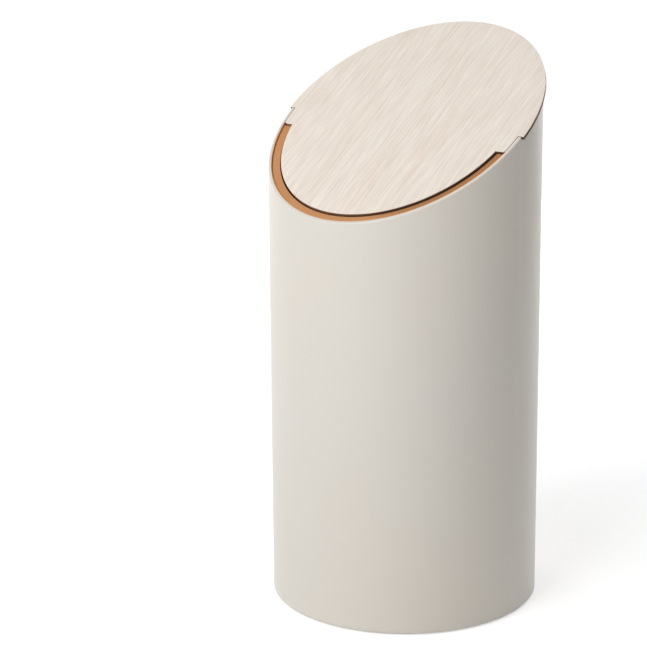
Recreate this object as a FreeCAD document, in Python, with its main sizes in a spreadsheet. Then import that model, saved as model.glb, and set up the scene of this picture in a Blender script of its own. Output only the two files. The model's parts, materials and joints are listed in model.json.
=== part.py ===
import FreeCAD, Part
import Sketcher
import os

# Waste bin: a straight tube cut at a slant, with a swing lid in a collar that lifts out.
# The origin is on the floor under the tube's axis, +Z is up, and the low side of the mouth faces -Y.
# Slope coordinates: run is along the slope, uphill from the tube's axis.
# Rise is square to the slope, up from the seat that the lid comes down on.

# Driving dimensions in millimetres, angles in degrees.
SIZES = {
    # Shell
    "shell_diameter": 230.0,
    "shell_wall": 3.0,
    "mouth_height": 417.0,
    "slant_angle": 29.7,
    "lip_height": 3.3,
    "lip_end_run": 2.4,
    "lip_round": 1.2,
    "foot_round": 1.5,
    "floor_gap": 1.0,
    # Base
    "base_recess": 3.0,
    "base_thickness": 9.0,
    "hoop_wall": 10.0,
    "hoop_height": 18.0,
    "hoop_chamfer": 1.0,
    "glue_gap": 0.1,
    "base_screw_diameter": 3.5,
    "base_screw_head_diameter": 7.0,
    "base_screw_head_height": 2.2,
    "base_screw_length": 20.0,
    "base_screw_tip": 3.0,
    "screw_gap": 0.05,
    "foot_pad_diameter": 22.0,
    "foot_pad_inset": 32.0,
    "foot_pad_chamfer": 0.8,
    # Collar
    "collar_gap": 0.4,
    "collar_wall": 6.7,
    "collar_skirt": 49.6,
    "front_ledge_rise": 1.3,
    "front_ledge_gap": 1.0,
    "seat_gap": 0.3,
    "rest_pad_diameter": 5.0,
    "rest_pad_thickness": 1.2,
    "rest_pad_proud": 0.2,
    # Lid
    "lid_gap": 0.5,
    "lid_overhang": 1.7,
    "veneer_thickness": 0.5,
    "flap_gap": 1.65,
    "flap_shift": 0.85,
    "tab_front_run": 22.3,
    "tab_gap": 0.6,
    "tab_round": 2.0,
    "lip_end_gap": 0.9,
    "backing_thickness": 3.5,
    "backing_margin": 8.6,
    # Pivot
    "swing_angle": 48.0,
    "pivot_margin": 7.5,
    "rod_diameter": 4.0,
    "rod_clearance": 0.05,
    "rod_end_gap": 0.5,
    "rod_chamfer": 0.5,
    "bush_wall": 1.0,
    "bush_fit_gap": 0.02,
    "bush_end_gap": 0.3,
    "flange_margin": 0.6,
    "flange_thickness": 1.2,
    "flange_gap": 0.3,
    # Rod clips
    "clip_end_inset": 27.0,
    "clip_width": 12.0,
    "clip_thickness": 1.0,
    "clip_ear": 8.0,
    "clip_screw_diameter": 2.5,
    "clip_screw_head_diameter": 4.8,
    "clip_screw_head_height": 1.5,
    "clip_screw_length": 4.0,
    # Swing stops
    "stop_diameter": 8.0,
    "stop_arm": 24.0,
    "stop_gap": 0.3,
    "stop_overlap": 5.5,
    "stop_socket": 5.5,
    "stop_round": 1.5,
    # Room past the solid that every cut takes
    "overrun": 10.0,
}
BASE_SCREW_COUNT = 6
FOOT_PAD_ANGLES = (45, 135, 225, 315)
REST_PAD_ANGLES = (-75, -28, 28, 75)
CLIP_PLACES = (-1, 0, 1)
SIDES = {"left": -1, "right": 1}

# Radii about the tube's axis, from the outside in.
SHELL_RADIUS = "(dims.shell_diameter / 2)"
LID_RADIUS = f"({SHELL_RADIUS} + dims.lid_overhang)"
BORE_RADIUS = f"({SHELL_RADIUS} - dims.shell_wall)"
GLUED_RADIUS = f"({BORE_RADIUS} - dims.glue_gap)"
TAB_RADIUS = f"({BORE_RADIUS} - dims.tab_gap)"
COLLAR_RADIUS = f"({BORE_RADIUS} - dims.collar_gap)"
COLLAR_BORE = f"({COLLAR_RADIUS} - dims.collar_wall)"
HOOP_BORE = f"({GLUED_RADIUS} - dims.hoop_wall)"
FLAP_RADIUS = f"({COLLAR_BORE} - dims.flap_gap)"
BACKING_RADIUS = f"({FLAP_RADIUS} - dims.backing_margin)"
SCREW_CIRCLE = f"(({GLUED_RADIUS} + {HOOP_BORE}) / 2)"
FOOT_PAD_CIRCLE = f"({BORE_RADIUS} - dims.foot_pad_inset)"
SEAT_MIDDLE = f"(({COLLAR_RADIUS} + {COLLAR_BORE}) / 2)"

# Heights above the floor.
SEAT_HEIGHT = "(dims.mouth_height - dims.lip_height / cos(dims.slant_angle))"
TOP_HEIGHT = f"(dims.mouth_height + {SHELL_RADIUS} * tan(dims.slant_angle) + dims.overrun)"
BASE_BOTTOM = "(dims.floor_gap + dims.base_recess)"
BASE_TOP = f"({BASE_BOTTOM} + dims.base_thickness)"
COLLAR_BOTTOM = f"({SEAT_HEIGHT} - {COLLAR_RADIUS} * tan(dims.slant_angle) - dims.collar_skirt)"
SEAT_TOP = f"({COLLAR_BOTTOM} - dims.seat_gap)"


def slope_y(run, rise):
    return f"(({run}) * cos(dims.slant_angle) - ({rise}) * sin(dims.slant_angle))"


def slope_z(run, rise):
    return f"({SEAT_HEIGHT} + ({run}) * sin(dims.slant_angle) + ({rise}) * cos(dims.slant_angle))"


# Lid and pivot in slope coordinates: the rod lies half sunk in the underside of the backing.
CORE_THICKNESS = "(dims.lip_height - dims.lid_gap - dims.veneer_thickness)"
VENEER_BOTTOM = "(dims.lip_height - dims.veneer_thickness)"
BACKING_BOTTOM = "(dims.lid_gap - dims.backing_thickness)"
LID_CENTRE_RUN = "((dims.lid_gap + dims.lip_height) / 2 * tan(dims.slant_angle))"
FLAP_CENTRE_RUN = f"({LID_CENTRE_RUN} - dims.flap_shift / cos(dims.slant_angle))"
TAB_RUN = "(-dims.tab_front_run)"
FRONT_LEDGE_RUN = f"({TAB_RUN} - dims.front_ledge_gap)"
STEP_RUN = "(dims.lip_end_gap - dims.lip_end_run)"
PIVOT_RUN = f"({TAB_RUN} - dims.backing_thickness * tan(dims.swing_angle / 2) - dims.pivot_margin)"
PIVOT_RISE = BACKING_BOTTOM
PIVOT_Y = slope_y(PIVOT_RUN, PIVOT_RISE)
PIVOT_Z = slope_z(PIVOT_RUN, PIVOT_RISE)
ROD_RADIUS = "(dims.rod_diameter / 2)"
BUSH_BORE = f"({ROD_RADIUS} + dims.rod_clearance)"
BUSH_RADIUS = f"({BUSH_BORE} + dims.bush_wall)"
FLANGE_RADIUS = f"({BUSH_RADIUS} + dims.flange_margin)"


def half_chord(radius, distance):
    return f"sqrt(({radius}) ^ 2 - ({distance}) ^ 2)"


# Places along the pivot's own line, which is parallel to X.
ROD_HALF_LENGTH = f"({half_chord(COLLAR_RADIUS, f'{PIVOT_Y} - {ROD_RADIUS}')} - dims.rod_end_gap)"
BUSH_END = f"({half_chord(COLLAR_RADIUS, f'{PIVOT_Y} - {BUSH_RADIUS}')} - dims.bush_end_gap)"
SPOT_FACE = half_chord(COLLAR_BORE, f"{PIVOT_Y} + {FLANGE_RADIUS}")

# Swing stops: pegs that the flap's underside meets when the lid is fully open.
STOP_RADIUS = "(dims.stop_diameter / 2)"
OPEN_ANGLE = "(dims.slant_angle + dims.swing_angle)"
STOP_DEPTH = f"(dims.backing_thickness - {STOP_RADIUS} - dims.stop_gap)"
STOP_Y = f"({PIVOT_Y} - dims.stop_arm * cos({OPEN_ANGLE}) - {STOP_DEPTH} * sin({OPEN_ANGLE}))"
STOP_Z = f"({PIVOT_Z} - dims.stop_arm * sin({OPEN_ANGLE}) + {STOP_DEPTH} * cos({OPEN_ANGLE}))"
STOP_TIP = (
    f"({half_chord(FLAP_RADIUS, f'({PIVOT_RUN} - dims.stop_arm) * cos(dims.slant_angle)')}"
    " - dims.stop_overlap)"
)
STOP_ROOT = f"({half_chord(COLLAR_BORE, f'{STOP_Y} - {STOP_RADIUS}')} + dims.stop_socket)"

# Rod clips: a strap round the rod with an ear each side for a screw.
CLIP_SPACING = f"({BACKING_RADIUS} - dims.clip_end_inset)"
CLIP_INNER = BUSH_BORE
CLIP_OUTER = f"({CLIP_INNER} + dims.clip_thickness)"
CLIP_REACH = f"({CLIP_OUTER} + dims.clip_ear)"
CLIP_SCREW_OFFSET = f"({CLIP_OUTER} + dims.clip_ear / 2)"
CLIP_BOTTOM = "(-dims.clip_thickness)"

X_AXIS = FreeCAD.Vector(1, 0, 0)
Y_AXIS = FreeCAD.Vector(0, 1, 0)
Z_AXIS = FreeCAD.Vector(0, 0, 1)
ANY_TURN = 45
QUARTER_TURN = 90
FULL_TURN = 360
SAME_PLACE = 1e-4

doc = FreeCAD.newDocument("waste_bin")
sheet = doc.addObject("Spreadsheet::Sheet", "dims")
for row, (alias, size) in enumerate(SIZES.items(), start=1):
    sheet.set(f"A{row}", str(size))
    sheet.setAlias(f"A{row}", alias)
doc.recompute()
nodes = []


def value(expression):
    return float(sheet.evalExpression(expression))


def keep(node, label):
    node.Label = label
    nodes.append(node)
    return node


def bind(target, bindings):
    for path, expression in bindings.items():
        target.setExpression(path, expression)


def turn_about(target, path, axis, angle):
    """Bind the angle of a placement that turns about a fixed axis."""
    setattr(target, path, FreeCAD.Placement(FreeCAD.Vector(), FreeCAD.Rotation(axis, ANY_TURN)))
    target.setExpression(f"{path}.Rotation.Angle", angle)


def place_on_slope(target, shift="0"):
    """Carry a piece drawn in slope coordinates to its place, shifted along X."""
    turn_about(target, "Placement", X_AXIS, "dims.slant_angle")
    bind(target, {"Placement.Base.x": shift, "Placement.Base.z": SEAT_HEIGHT})


def new_body(label):
    return keep(doc.addObject("PartDesign::Body", label), label)


def new_sketch(body, role, shift=None):
    """Sketch on one of the body's own origin planes, shifted by the given x, y and z."""
    plane = next(feature for feature in body.Origin.OriginFeatures if feature.Role == role)
    sketch = body.newObject("Sketcher::SketchObject", "outline")
    sketch.AttachmentSupport = [(plane, "")]
    sketch.MapMode = "FlatFace"
    bind(sketch, {f"AttachmentOffset.Base.{axis}": move for axis, move in (shift or {}).items()})
    return sketch


def constrain(sketch, kind, references, expression):
    index = sketch.addConstraint(Sketcher.Constraint(kind, *references, value(expression)))
    sketch.setExpression(f"Constraints[{index}]", expression)


def pin_point(sketch, geometry, point, place):
    """Hold a point of the sketch at its x and y from the sketch's origin."""
    for kind, expression in zip(("DistanceX", "DistanceY"), place):
        constrain(sketch, kind, (-1, 1, geometry, point), expression)


def add_circle(sketch, radius, place=("0", "0")):
    centre = FreeCAD.Vector(value(place[0]), value(place[1]))
    geometry = sketch.addGeometry(Part.Circle(centre, Z_AXIS, value(radius)))
    constrain(sketch, "Radius", (geometry,), radius)
    pin_point(sketch, geometry, 3, place)


def add_polygon(sketch, places):
    corners = [FreeCAD.Vector(value(x), value(y)) for x, y in places]
    sides = [
        sketch.addGeometry(Part.LineSegment(start, end))
        for start, end in zip(corners, corners[1:] + corners[:1])
    ]
    for side, following, place in zip(sides, sides[1:] + sides[:1], places):
        sketch.addConstraint(Sketcher.Constraint("Coincident", side, 2, following, 1))
        pin_point(sketch, side, 1, place)


def pad(body, sketch, length, symmetric=False):
    feature = body.newObject("PartDesign::Pad", "pad")
    feature.Profile = sketch
    feature.SideType = "Symmetric" if symmetric else "One side"
    feature.setExpression("Length", length)
    return feature


def require_cut(body, before, feature):
    doc.recompute()
    if body.Shape.Volume >= before:
        raise RuntimeError(f"{body.Label}: {feature.Name} cuts nothing")
    return feature


def pocket(body, sketch, length=None, symmetric=True, flipped=False):
    """Cut the sketch through everything, or over a length, and see that it takes material away."""
    doc.recompute()
    before = body.Shape.Volume
    feature = body.newObject("PartDesign::Pocket", "pocket")
    feature.Profile = sketch
    feature.SideType = "Symmetric" if symmetric else "One side"
    feature.Reversed = flipped
    if length is None:
        feature.Type = "ThroughAll"
    else:
        feature.setExpression("Length", length)
    return require_cut(body, before, feature)


def revolve(body, sketch, axis, kind="Revolution"):
    feature = body.newObject(f"PartDesign::{kind}", "turned")
    feature.Profile = sketch
    feature.ReferenceAxis = (sketch, [axis])
    feature.Angle = FULL_TURN
    return feature


def ring_pattern(body, feature, count):
    """Repeat a feature evenly round the body's Z axis."""
    doc.recompute()
    pattern = body.newObject("PartDesign::PolarPattern", "round")
    pattern.Originals = [feature]
    axis = next(line for line in body.Origin.OriginFeatures if line.Role == "Z_Axis")
    pattern.Axis = (axis, [""])
    pattern.Angle = FULL_TURN
    pattern.Occurrences = count
    body.Tip = pattern
    return pattern


def dress_edges(body, kind, size, chosen):
    """Fillet or chamfer the edges of the body that the test chooses."""
    doc.recompute()
    tip = body.Tip
    names = [f"Edge{index}" for index, edge in enumerate(tip.Shape.Edges, start=1) if chosen(edge)]
    if not names:
        raise RuntimeError(f"{body.Label}: no edge to {kind.lower()}")
    feature = body.newObject(f"PartDesign::{kind}", kind.lower())
    feature.Base = (tip, names)
    feature.setExpression("Radius" if kind == "Fillet" else "Size", size)


def at_height(edge, height):
    box = edge.BoundBox
    return abs(box.ZMin - height) < SAME_PLACE and abs(box.ZMax - height) < SAME_PLACE


def along_radius(edge, radius):
    """True where every point of the edge is at the radius from the tube's axis."""
    ends = [edge.valueAt(edge.FirstParameter), edge.valueAt(edge.LastParameter)]
    middle = edge.valueAt((edge.FirstParameter + edge.LastParameter) / 2)
    return all(abs((point.x ** 2 + point.y ** 2) ** 0.5 - radius) < SAME_PLACE for point in ends + [middle])


def tube(label, outer, inner, bottom, top):
    body = new_body(label)
    sketch = new_sketch(body, "XY_Plane", {"z": bottom})
    add_circle(sketch, outer)
    if inner is not None:
        add_circle(sketch, inner)
    pad(body, sketch, f"({top}) - ({bottom})")
    return body


def slope_point(run, rise):
    return (slope_y(run, rise), slope_z(run, rise))


def cut_top(body, step_run, front_rise):
    """Cut a tube off along the seat, and by the rise higher downhill of the step. Gives the step's y."""
    past = f"({SHELL_RADIUS} + dims.overrun) / cos(dims.slant_angle)"
    profile = [
        slope_point(f"-{past}", front_rise),
        slope_point(step_run, front_rise),
        slope_point(step_run, "0"),
        slope_point(past, "0"),
    ]
    above = f"{TOP_HEIGHT} + dims.overrun"
    sketch = new_sketch(body, "YZ_Plane")
    add_polygon(sketch, profile + [(profile[-1][0], above), (profile[0][0], above)])
    pocket(body, sketch)
    return value(profile[1][0])


# Shell and what is glued into it
def make_outer_shell():
    body = tube("outer_shell", SHELL_RADIUS, BORE_RADIUS, "dims.floor_gap", TOP_HEIGHT)
    lip_end_y = cut_top(body, "-dims.lip_end_run", "dims.lip_height")
    foot = value("dims.floor_gap")
    radius = value(SHELL_RADIUS)

    def is_lip(edge):
        level = at_height(edge, foot) or edge.BoundBox.YMin > lip_end_y - SAME_PLACE
        return not level and edge.BoundBox.YMax < lip_end_y + SAME_PLACE and along_radius(edge, radius)

    dress_edges(body, "Fillet", "dims.lip_round", is_lip)
    dress_edges(
        body, "Fillet", "dims.foot_round",
        lambda edge: at_height(edge, foot) and along_radius(edge, radius),
    )


def make_seat_hoop():
    bottom = f"{SEAT_TOP} - dims.hoop_height"
    body = tube("seat_hoop", GLUED_RADIUS, COLLAR_BORE, bottom, SEAT_TOP)
    bore, low = value(COLLAR_BORE), value(bottom)
    dress_edges(
        body, "Chamfer", "dims.hoop_chamfer",
        lambda edge: at_height(edge, low) and along_radius(edge, bore),
    )


def make_base_hoop():
    top = f"{BASE_TOP} + dims.hoop_height"
    body = tube("base_hoop", GLUED_RADIUS, HOOP_BORE, BASE_TOP, top)
    bore, high = value(HOOP_BORE), value(top)
    dress_edges(
        body, "Chamfer", "dims.hoop_chamfer",
        lambda edge: at_height(edge, high) and along_radius(edge, bore),
    )
    sketch = new_sketch(body, "XY_Plane", {"z": BASE_TOP})
    add_circle(sketch, "dims.base_screw_diameter / 2 + dims.screw_gap", (SCREW_CIRCLE, "0"))
    depth = "dims.base_screw_length - dims.base_thickness + dims.screw_gap"
    hole = pocket(body, sketch, depth, symmetric=False, flipped=True)
    ring_pattern(body, hole, BASE_SCREW_COUNT)


def make_base_panel():
    body = tube("base_panel", GLUED_RADIUS, None, BASE_BOTTOM, BASE_TOP)
    doc.recompute()
    before = body.Shape.Volume
    sketch = new_sketch(body, "XZ_Plane", {"x": SCREW_CIRCLE, "y": BASE_BOTTOM})
    head = "dims.base_screw_head_diameter / 2 + dims.screw_gap"
    shank = "dims.base_screw_diameter / 2 + dims.screw_gap"
    through = "dims.base_thickness + dims.overrun"
    add_polygon(sketch, [
        ("0", "-dims.overrun"),
        (head, "-dims.overrun"),
        (head, "0"),
        (shank, "dims.base_screw_head_height"),
        (shank, through),
        ("0", through),
    ])
    countersink = require_cut(body, before, revolve(body, sketch, "V_Axis", "Groove"))
    ring_pattern(body, countersink, BASE_SCREW_COUNT)


def turned_shape(name, profile):
    """Shape turned about Z from a half section, for the screws that are repeated in one node."""
    body = doc.addObject("PartDesign::Body", name)
    sketch = new_sketch(body, "XZ_Plane")
    add_polygon(sketch, profile)
    revolve(body, sketch, "V_Axis")
    doc.recompute()
    return body.Shape


def grouped(label, shape, places):
    """One node of like solids, each a copy of the shape at its place."""
    copies = []
    for place in places:
        copy = shape.copy()
        copy.Placement = FreeCAD.Placement(place, FreeCAD.Rotation())
        copies.append(copy)
    group = doc.addObject("Part::Feature", label)
    group.Shape = Part.makeCompound(copies)
    return keep(group, label)


def make_base_screws():
    shank = "dims.base_screw_diameter / 2"
    shape = turned_shape("base_screw", [
        ("0", "0"),
        ("dims.base_screw_head_diameter / 2", "0"),
        (shank, "dims.base_screw_head_height"),
        (shank, "dims.base_screw_length - dims.base_screw_tip"),
        ("0", "dims.base_screw_length"),
    ])
    out = FreeCAD.Vector(value(SCREW_CIRCLE), 0, value(BASE_BOTTOM))
    turns = [FULL_TURN * number / BASE_SCREW_COUNT for number in range(BASE_SCREW_COUNT)]
    grouped("base_screws", shape, [FreeCAD.Rotation(Z_AXIS, turn).multVec(out) for turn in turns])


def make_foot_pads():
    for number, angle in enumerate(FOOT_PAD_ANGLES, start=1):
        body = tube(f"foot_pad_{number}", "dims.foot_pad_diameter / 2", None, "0", BASE_BOTTOM)
        dress_edges(body, "Chamfer", "dims.foot_pad_chamfer", lambda edge: at_height(edge, 0))
        bind(body, {
            "Placement.Base.x": f"{FOOT_PAD_CIRCLE} * cos({angle})",
            "Placement.Base.y": f"{FOOT_PAD_CIRCLE} * sin({angle})",
        })


# Collar and what is fixed in it
def rest_pad_place(angle):
    return (f"{SEAT_MIDDLE} * sin({angle})", f"{SEAT_MIDDLE} * cos({angle}) / cos(dims.slant_angle)")


def make_lid_collar():
    body = tube("lid_collar", COLLAR_RADIUS, COLLAR_BORE, COLLAR_BOTTOM, TOP_HEIGHT)
    cut_top(body, FRONT_LEDGE_RUN, "dims.front_ledge_rise")
    cuts = (
        (f"{BUSH_RADIUS} + dims.bush_fit_gap", (PIVOT_Y, PIVOT_Z), None),
        (f"{FLANGE_RADIUS} + dims.flange_gap", (PIVOT_Y, PIVOT_Z), f"2 * {SPOT_FACE}"),
        (f"{STOP_RADIUS} + dims.glue_gap", (STOP_Y, STOP_Z), f"2 * {STOP_ROOT}"),
    )
    for radius, place, length in cuts:
        sketch = new_sketch(body, "YZ_Plane")
        add_circle(sketch, radius, place)
        pocket(body, sketch, length)
    recess = new_sketch(body, "XY_Plane")
    turn_about(recess, "AttachmentOffset", X_AXIS, "dims.slant_angle")
    bind(recess, {"AttachmentOffset.Base.z": SEAT_HEIGHT})
    for angle in REST_PAD_ANGLES:
        add_circle(recess, "dims.rest_pad_diameter / 2 + dims.glue_gap", rest_pad_place(angle))
    pocket(body, recess, "dims.rest_pad_thickness - dims.rest_pad_proud", symmetric=False)


def make_pivot_bushes():
    for side, sign in SIDES.items():
        body = new_body(f"pivot_bush_{side}")
        sketch = new_sketch(body, "XY_Plane", {"y": PIVOT_RUN, "z": PIVOT_RISE})
        add_polygon(sketch, [
            (f"{sign} * ({SPOT_FACE} - dims.flange_thickness)", BUSH_BORE),
            (f"{sign} * ({SPOT_FACE} - dims.flange_thickness)", FLANGE_RADIUS),
            (f"{sign} * {SPOT_FACE}", FLANGE_RADIUS),
            (f"{sign} * {SPOT_FACE}", BUSH_RADIUS),
            (f"{sign} * {BUSH_END}", BUSH_RADIUS),
            (f"{sign} * {BUSH_END}", BUSH_BORE),
        ])
        revolve(body, sketch, "H_Axis")
        place_on_slope(body)


def make_swing_stops():
    for side, sign in SIDES.items():
        body = new_body(f"swing_stop_{side}")
        start = STOP_TIP if sign > 0 else f"(-{STOP_ROOT})"
        sketch = new_sketch(body, "YZ_Plane", {"z": start})
        add_circle(sketch, STOP_RADIUS, (STOP_Y, STOP_Z))
        pad(body, sketch, f"{STOP_ROOT} - {STOP_TIP}")
        tip = sign * value(STOP_TIP)

        def is_tip(edge):
            return max(abs(edge.BoundBox.XMin - tip), abs(edge.BoundBox.XMax - tip)) < SAME_PLACE

        dress_edges(body, "Fillet", "dims.stop_round", is_tip)


def make_rest_pads():
    for number, angle in enumerate(REST_PAD_ANGLES, start=1):
        body = new_body(f"rest_pad_{number}")
        bottom = "dims.rest_pad_proud - dims.rest_pad_thickness"
        sketch = new_sketch(body, "XY_Plane", {"z": bottom})
        add_circle(sketch, "dims.rest_pad_diameter / 2", rest_pad_place(angle))
        pad(body, sketch, "dims.rest_pad_thickness")
        place_on_slope(body)


# Lid and what swings with it
def slanted_disc(name, radius, centre, bottom, thickness):
    """Disc on the slope that is a circle in plan: an ellipse stretched uphill, cut square to its face."""
    outline = doc.addObject("Part::Ellipse", f"{name}_outline")
    outline.Placement = FreeCAD.Placement(FreeCAD.Vector(), FreeCAD.Rotation(Z_AXIS, QUARTER_TURN))
    bind(outline, {
        "MinorRadius": radius,
        "MajorRadius": f"{radius} / cos(dims.slant_angle)",
        "Placement.Base.y": centre,
        "Placement.Base.z": bottom,
    })
    disc = doc.addObject("Part::Extrusion", name)
    disc.Base = outline
    disc.DirMode = "Custom"
    disc.Dir = Z_AXIS
    disc.Solid = True
    disc.setExpression("LengthFwd", thickness)
    return disc


def slope_zone(name, start, end):
    """Box across the whole lid between two runs, to keep one stretch of a disc."""
    reach = f"({SHELL_RADIUS} + dims.overrun)"
    zone = doc.addObject("Part::Box", name)
    bind(zone, {
        "Length": f"2 * {reach}",
        "Width": f"({end}) - ({start})",
        "Height": f"2 * {reach}",
        "Placement.Base.x": f"-{reach}",
        "Placement.Base.y": start,
        "Placement.Base.z": f"-{reach}",
    })
    return zone


def lid_sheet(label, bottom, thickness):
    """One layer of the lid: full width uphill, tabs beside the lip's ends, and the narrower flap."""
    far = f"(({SHELL_RADIUS} + dims.overrun) / cos(dims.slant_angle))"
    stretches = (
        ("rear", LID_RADIUS, LID_CENTRE_RUN, STEP_RUN, far),
        ("tabs", TAB_RADIUS, LID_CENTRE_RUN, TAB_RUN, STEP_RUN),
        ("flap", FLAP_RADIUS, FLAP_CENTRE_RUN, f"-{far}", TAB_RUN),
    )
    pieces = []
    for name, radius, centre, start, end in stretches:
        common = doc.addObject("Part::Common", f"{label}_{name}")
        common.Base = slanted_disc(f"{label}_{name}_disc", radius, centre, bottom, thickness)
        common.Tool = slope_zone(f"{label}_{name}_zone", start, end)
        pieces.append(common)
    joined = doc.addObject("Part::MultiFuse", f"{label}_square")
    joined.Shapes = pieces
    joined.Refine = True
    doc.recompute()
    tab_front = value(TAB_RUN)
    front_points = [vertex for vertex in joined.Shape.Vertexes if abs(vertex.Y - tab_front) < SAME_PLACE]
    reach = max(vertex.X for vertex in front_points)

    def is_corner(edge):
        upright = edge.BoundBox.XLength + edge.BoundBox.YLength < SAME_PLACE
        place = edge.Vertexes[0]
        at_tab = abs(place.Y - tab_front) < SAME_PLACE and abs(abs(place.X) - reach) < SAME_PLACE
        return upright and at_tab

    corners = [index for index, edge in enumerate(joined.Shape.Edges, start=1) if is_corner(edge)]
    if len(corners) != len(SIDES):
        raise RuntimeError(f"{label}: {len(corners)} tab corners found")
    rounded = doc.addObject("Part::Fillet", label)
    rounded.Base = joined
    radius = value("dims.tab_round")
    rounded.Edges = [(index, radius, radius) for index in corners]
    place_on_slope(keep(rounded, label))


def clip_screw_places():
    for place in CLIP_PLACES:
        for sign in SIDES.values():
            yield f"{place} * {CLIP_SPACING}", f"{PIVOT_RUN} + {sign} * {CLIP_SCREW_OFFSET}"


def make_lid_backing():
    board = slanted_disc(
        "backing_board", BACKING_RADIUS, LID_CENTRE_RUN, BACKING_BOTTOM, "dims.backing_thickness",
    )
    groove = doc.addObject("Part::Cylinder", "rod_groove")
    groove.Placement = FreeCAD.Placement(FreeCAD.Vector(), FreeCAD.Rotation(Y_AXIS, QUARTER_TURN))
    bind(groove, {
        "Radius": BUSH_BORE,
        "Height": f"2 * {SHELL_RADIUS}",
        "Placement.Base.x": f"-{SHELL_RADIUS}",
        "Placement.Base.y": PIVOT_RUN,
        "Placement.Base.z": PIVOT_RISE,
    })
    cutters = [groove]
    for across, along in clip_screw_places():
        pilot = doc.addObject("Part::Cylinder", "pilot_hole")
        bind(pilot, {
            "Radius": "dims.clip_screw_diameter / 2 + dims.screw_gap",
            "Height": "dims.clip_screw_length - dims.clip_thickness + dims.screw_gap",
            "Placement.Base.x": across,
            "Placement.Base.y": along,
            "Placement.Base.z": BACKING_BOTTOM,
        })
        cutters.append(pilot)
    tools = doc.addObject("Part::MultiFuse", "backing_cuts")
    tools.Shapes = cutters
    backing = doc.addObject("Part::Cut", "lid_backing")
    backing.Base = board
    backing.Tool = tools
    place_on_slope(keep(backing, "lid_backing"))


def make_pivot_rod():
    body = new_body("pivot_rod")
    sketch = new_sketch(body, "YZ_Plane")
    add_circle(sketch, ROD_RADIUS, (PIVOT_RUN, PIVOT_RISE))
    pad(body, sketch, f"2 * {ROD_HALF_LENGTH}", symmetric=True)
    dress_edges(body, "Chamfer", "dims.rod_chamfer", lambda edge: edge.BoundBox.XLength < SAME_PLACE)
    place_on_slope(body)


def make_rod_clips():
    for number, place in enumerate(CLIP_PLACES, start=1):
        body = new_body(f"rod_clip_{number}")
        bar = new_sketch(body, "YZ_Plane", {"x": PIVOT_RUN, "y": PIVOT_RISE})
        add_polygon(bar, [
            (f"-{CLIP_REACH}", CLIP_BOTTOM),
            (CLIP_REACH, CLIP_BOTTOM),
            (CLIP_REACH, "0"),
            (f"-{CLIP_REACH}", "0"),
        ])
        pad(body, bar, "dims.clip_width", symmetric=True)
        hump = new_sketch(body, "YZ_Plane", {"x": PIVOT_RUN, "y": PIVOT_RISE})
        add_circle(hump, CLIP_OUTER)
        pad(body, hump, "dims.clip_width", symmetric=True)
        flush = new_sketch(body, "YZ_Plane", {"x": PIVOT_RUN, "y": PIVOT_RISE})
        add_polygon(flush, [
            (f"-{CLIP_REACH}", "0"),
            (CLIP_REACH, "0"),
            (CLIP_REACH, CLIP_REACH),
            (f"-{CLIP_REACH}", CLIP_REACH),
        ])
        pocket(body, flush)
        seat = new_sketch(body, "YZ_Plane", {"x": PIVOT_RUN, "y": PIVOT_RISE})
        add_circle(seat, CLIP_INNER)
        pocket(body, seat)
        holes = new_sketch(body, "XY_Plane", {"y": PIVOT_RUN})
        for sign in SIDES.values():
            hole_radius = "dims.clip_screw_diameter / 2 + dims.screw_gap"
            add_circle(holes, hole_radius, ("0", f"{sign} * {CLIP_SCREW_OFFSET}"))
        pocket(body, holes)
        place_on_slope(body, f"{place} * {CLIP_SPACING}")


def make_clip_screws():
    shank, head = "dims.clip_screw_diameter / 2", "dims.clip_screw_head_diameter / 2"
    shape = turned_shape("clip_screw", [
        ("0", "-dims.clip_screw_head_height"),
        (head, "-dims.clip_screw_head_height"),
        (head, "0"),
        (shank, "0"),
        (shank, "dims.clip_screw_length"),
        ("0", "dims.clip_screw_length"),
    ])
    level = value(f"{BACKING_BOTTOM} - dims.clip_thickness")
    places = [FreeCAD.Vector(value(x), value(y), level) for x, y in clip_screw_places()]
    place_on_slope(grouped("clip_screws", shape, places))


def write_parts():
    doc.recompute()
    failed = [item.Label for item in doc.Objects if {"Invalid", "Error"} & set(item.State)]
    failed += [node.Label for node in nodes if node.Shape.isNull() or not node.Shape.isValid()]
    if failed:
        raise RuntimeError(f"not built: {failed}")
    os.makedirs("parts", exist_ok=True)
    for node in nodes:
        node.Shape.exportStep(f"parts/{node.Label}.step")


make_outer_shell()
make_seat_hoop()
make_base_hoop()
make_base_panel()
make_base_screws()
make_foot_pads()
make_lid_collar()
make_pivot_bushes()
make_swing_stops()
make_rest_pads()
lid_sheet("lid_core", "dims.lid_gap", CORE_THICKNESS)
lid_sheet("lid_veneer", VENEER_BOTTOM, "dims.veneer_thickness")
make_lid_backing()
make_pivot_rod()
make_rod_clips()
make_clip_screws()
write_parts()
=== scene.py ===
"""Waste bin with a slanted swing lid: surfaces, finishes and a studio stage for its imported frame."""

import json
import math

import bpy
import numpy as np
from bpy.props import FloatProperty, FloatVectorProperty, IntProperty, PointerProperty
from mathutils import Matrix, Vector


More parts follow.
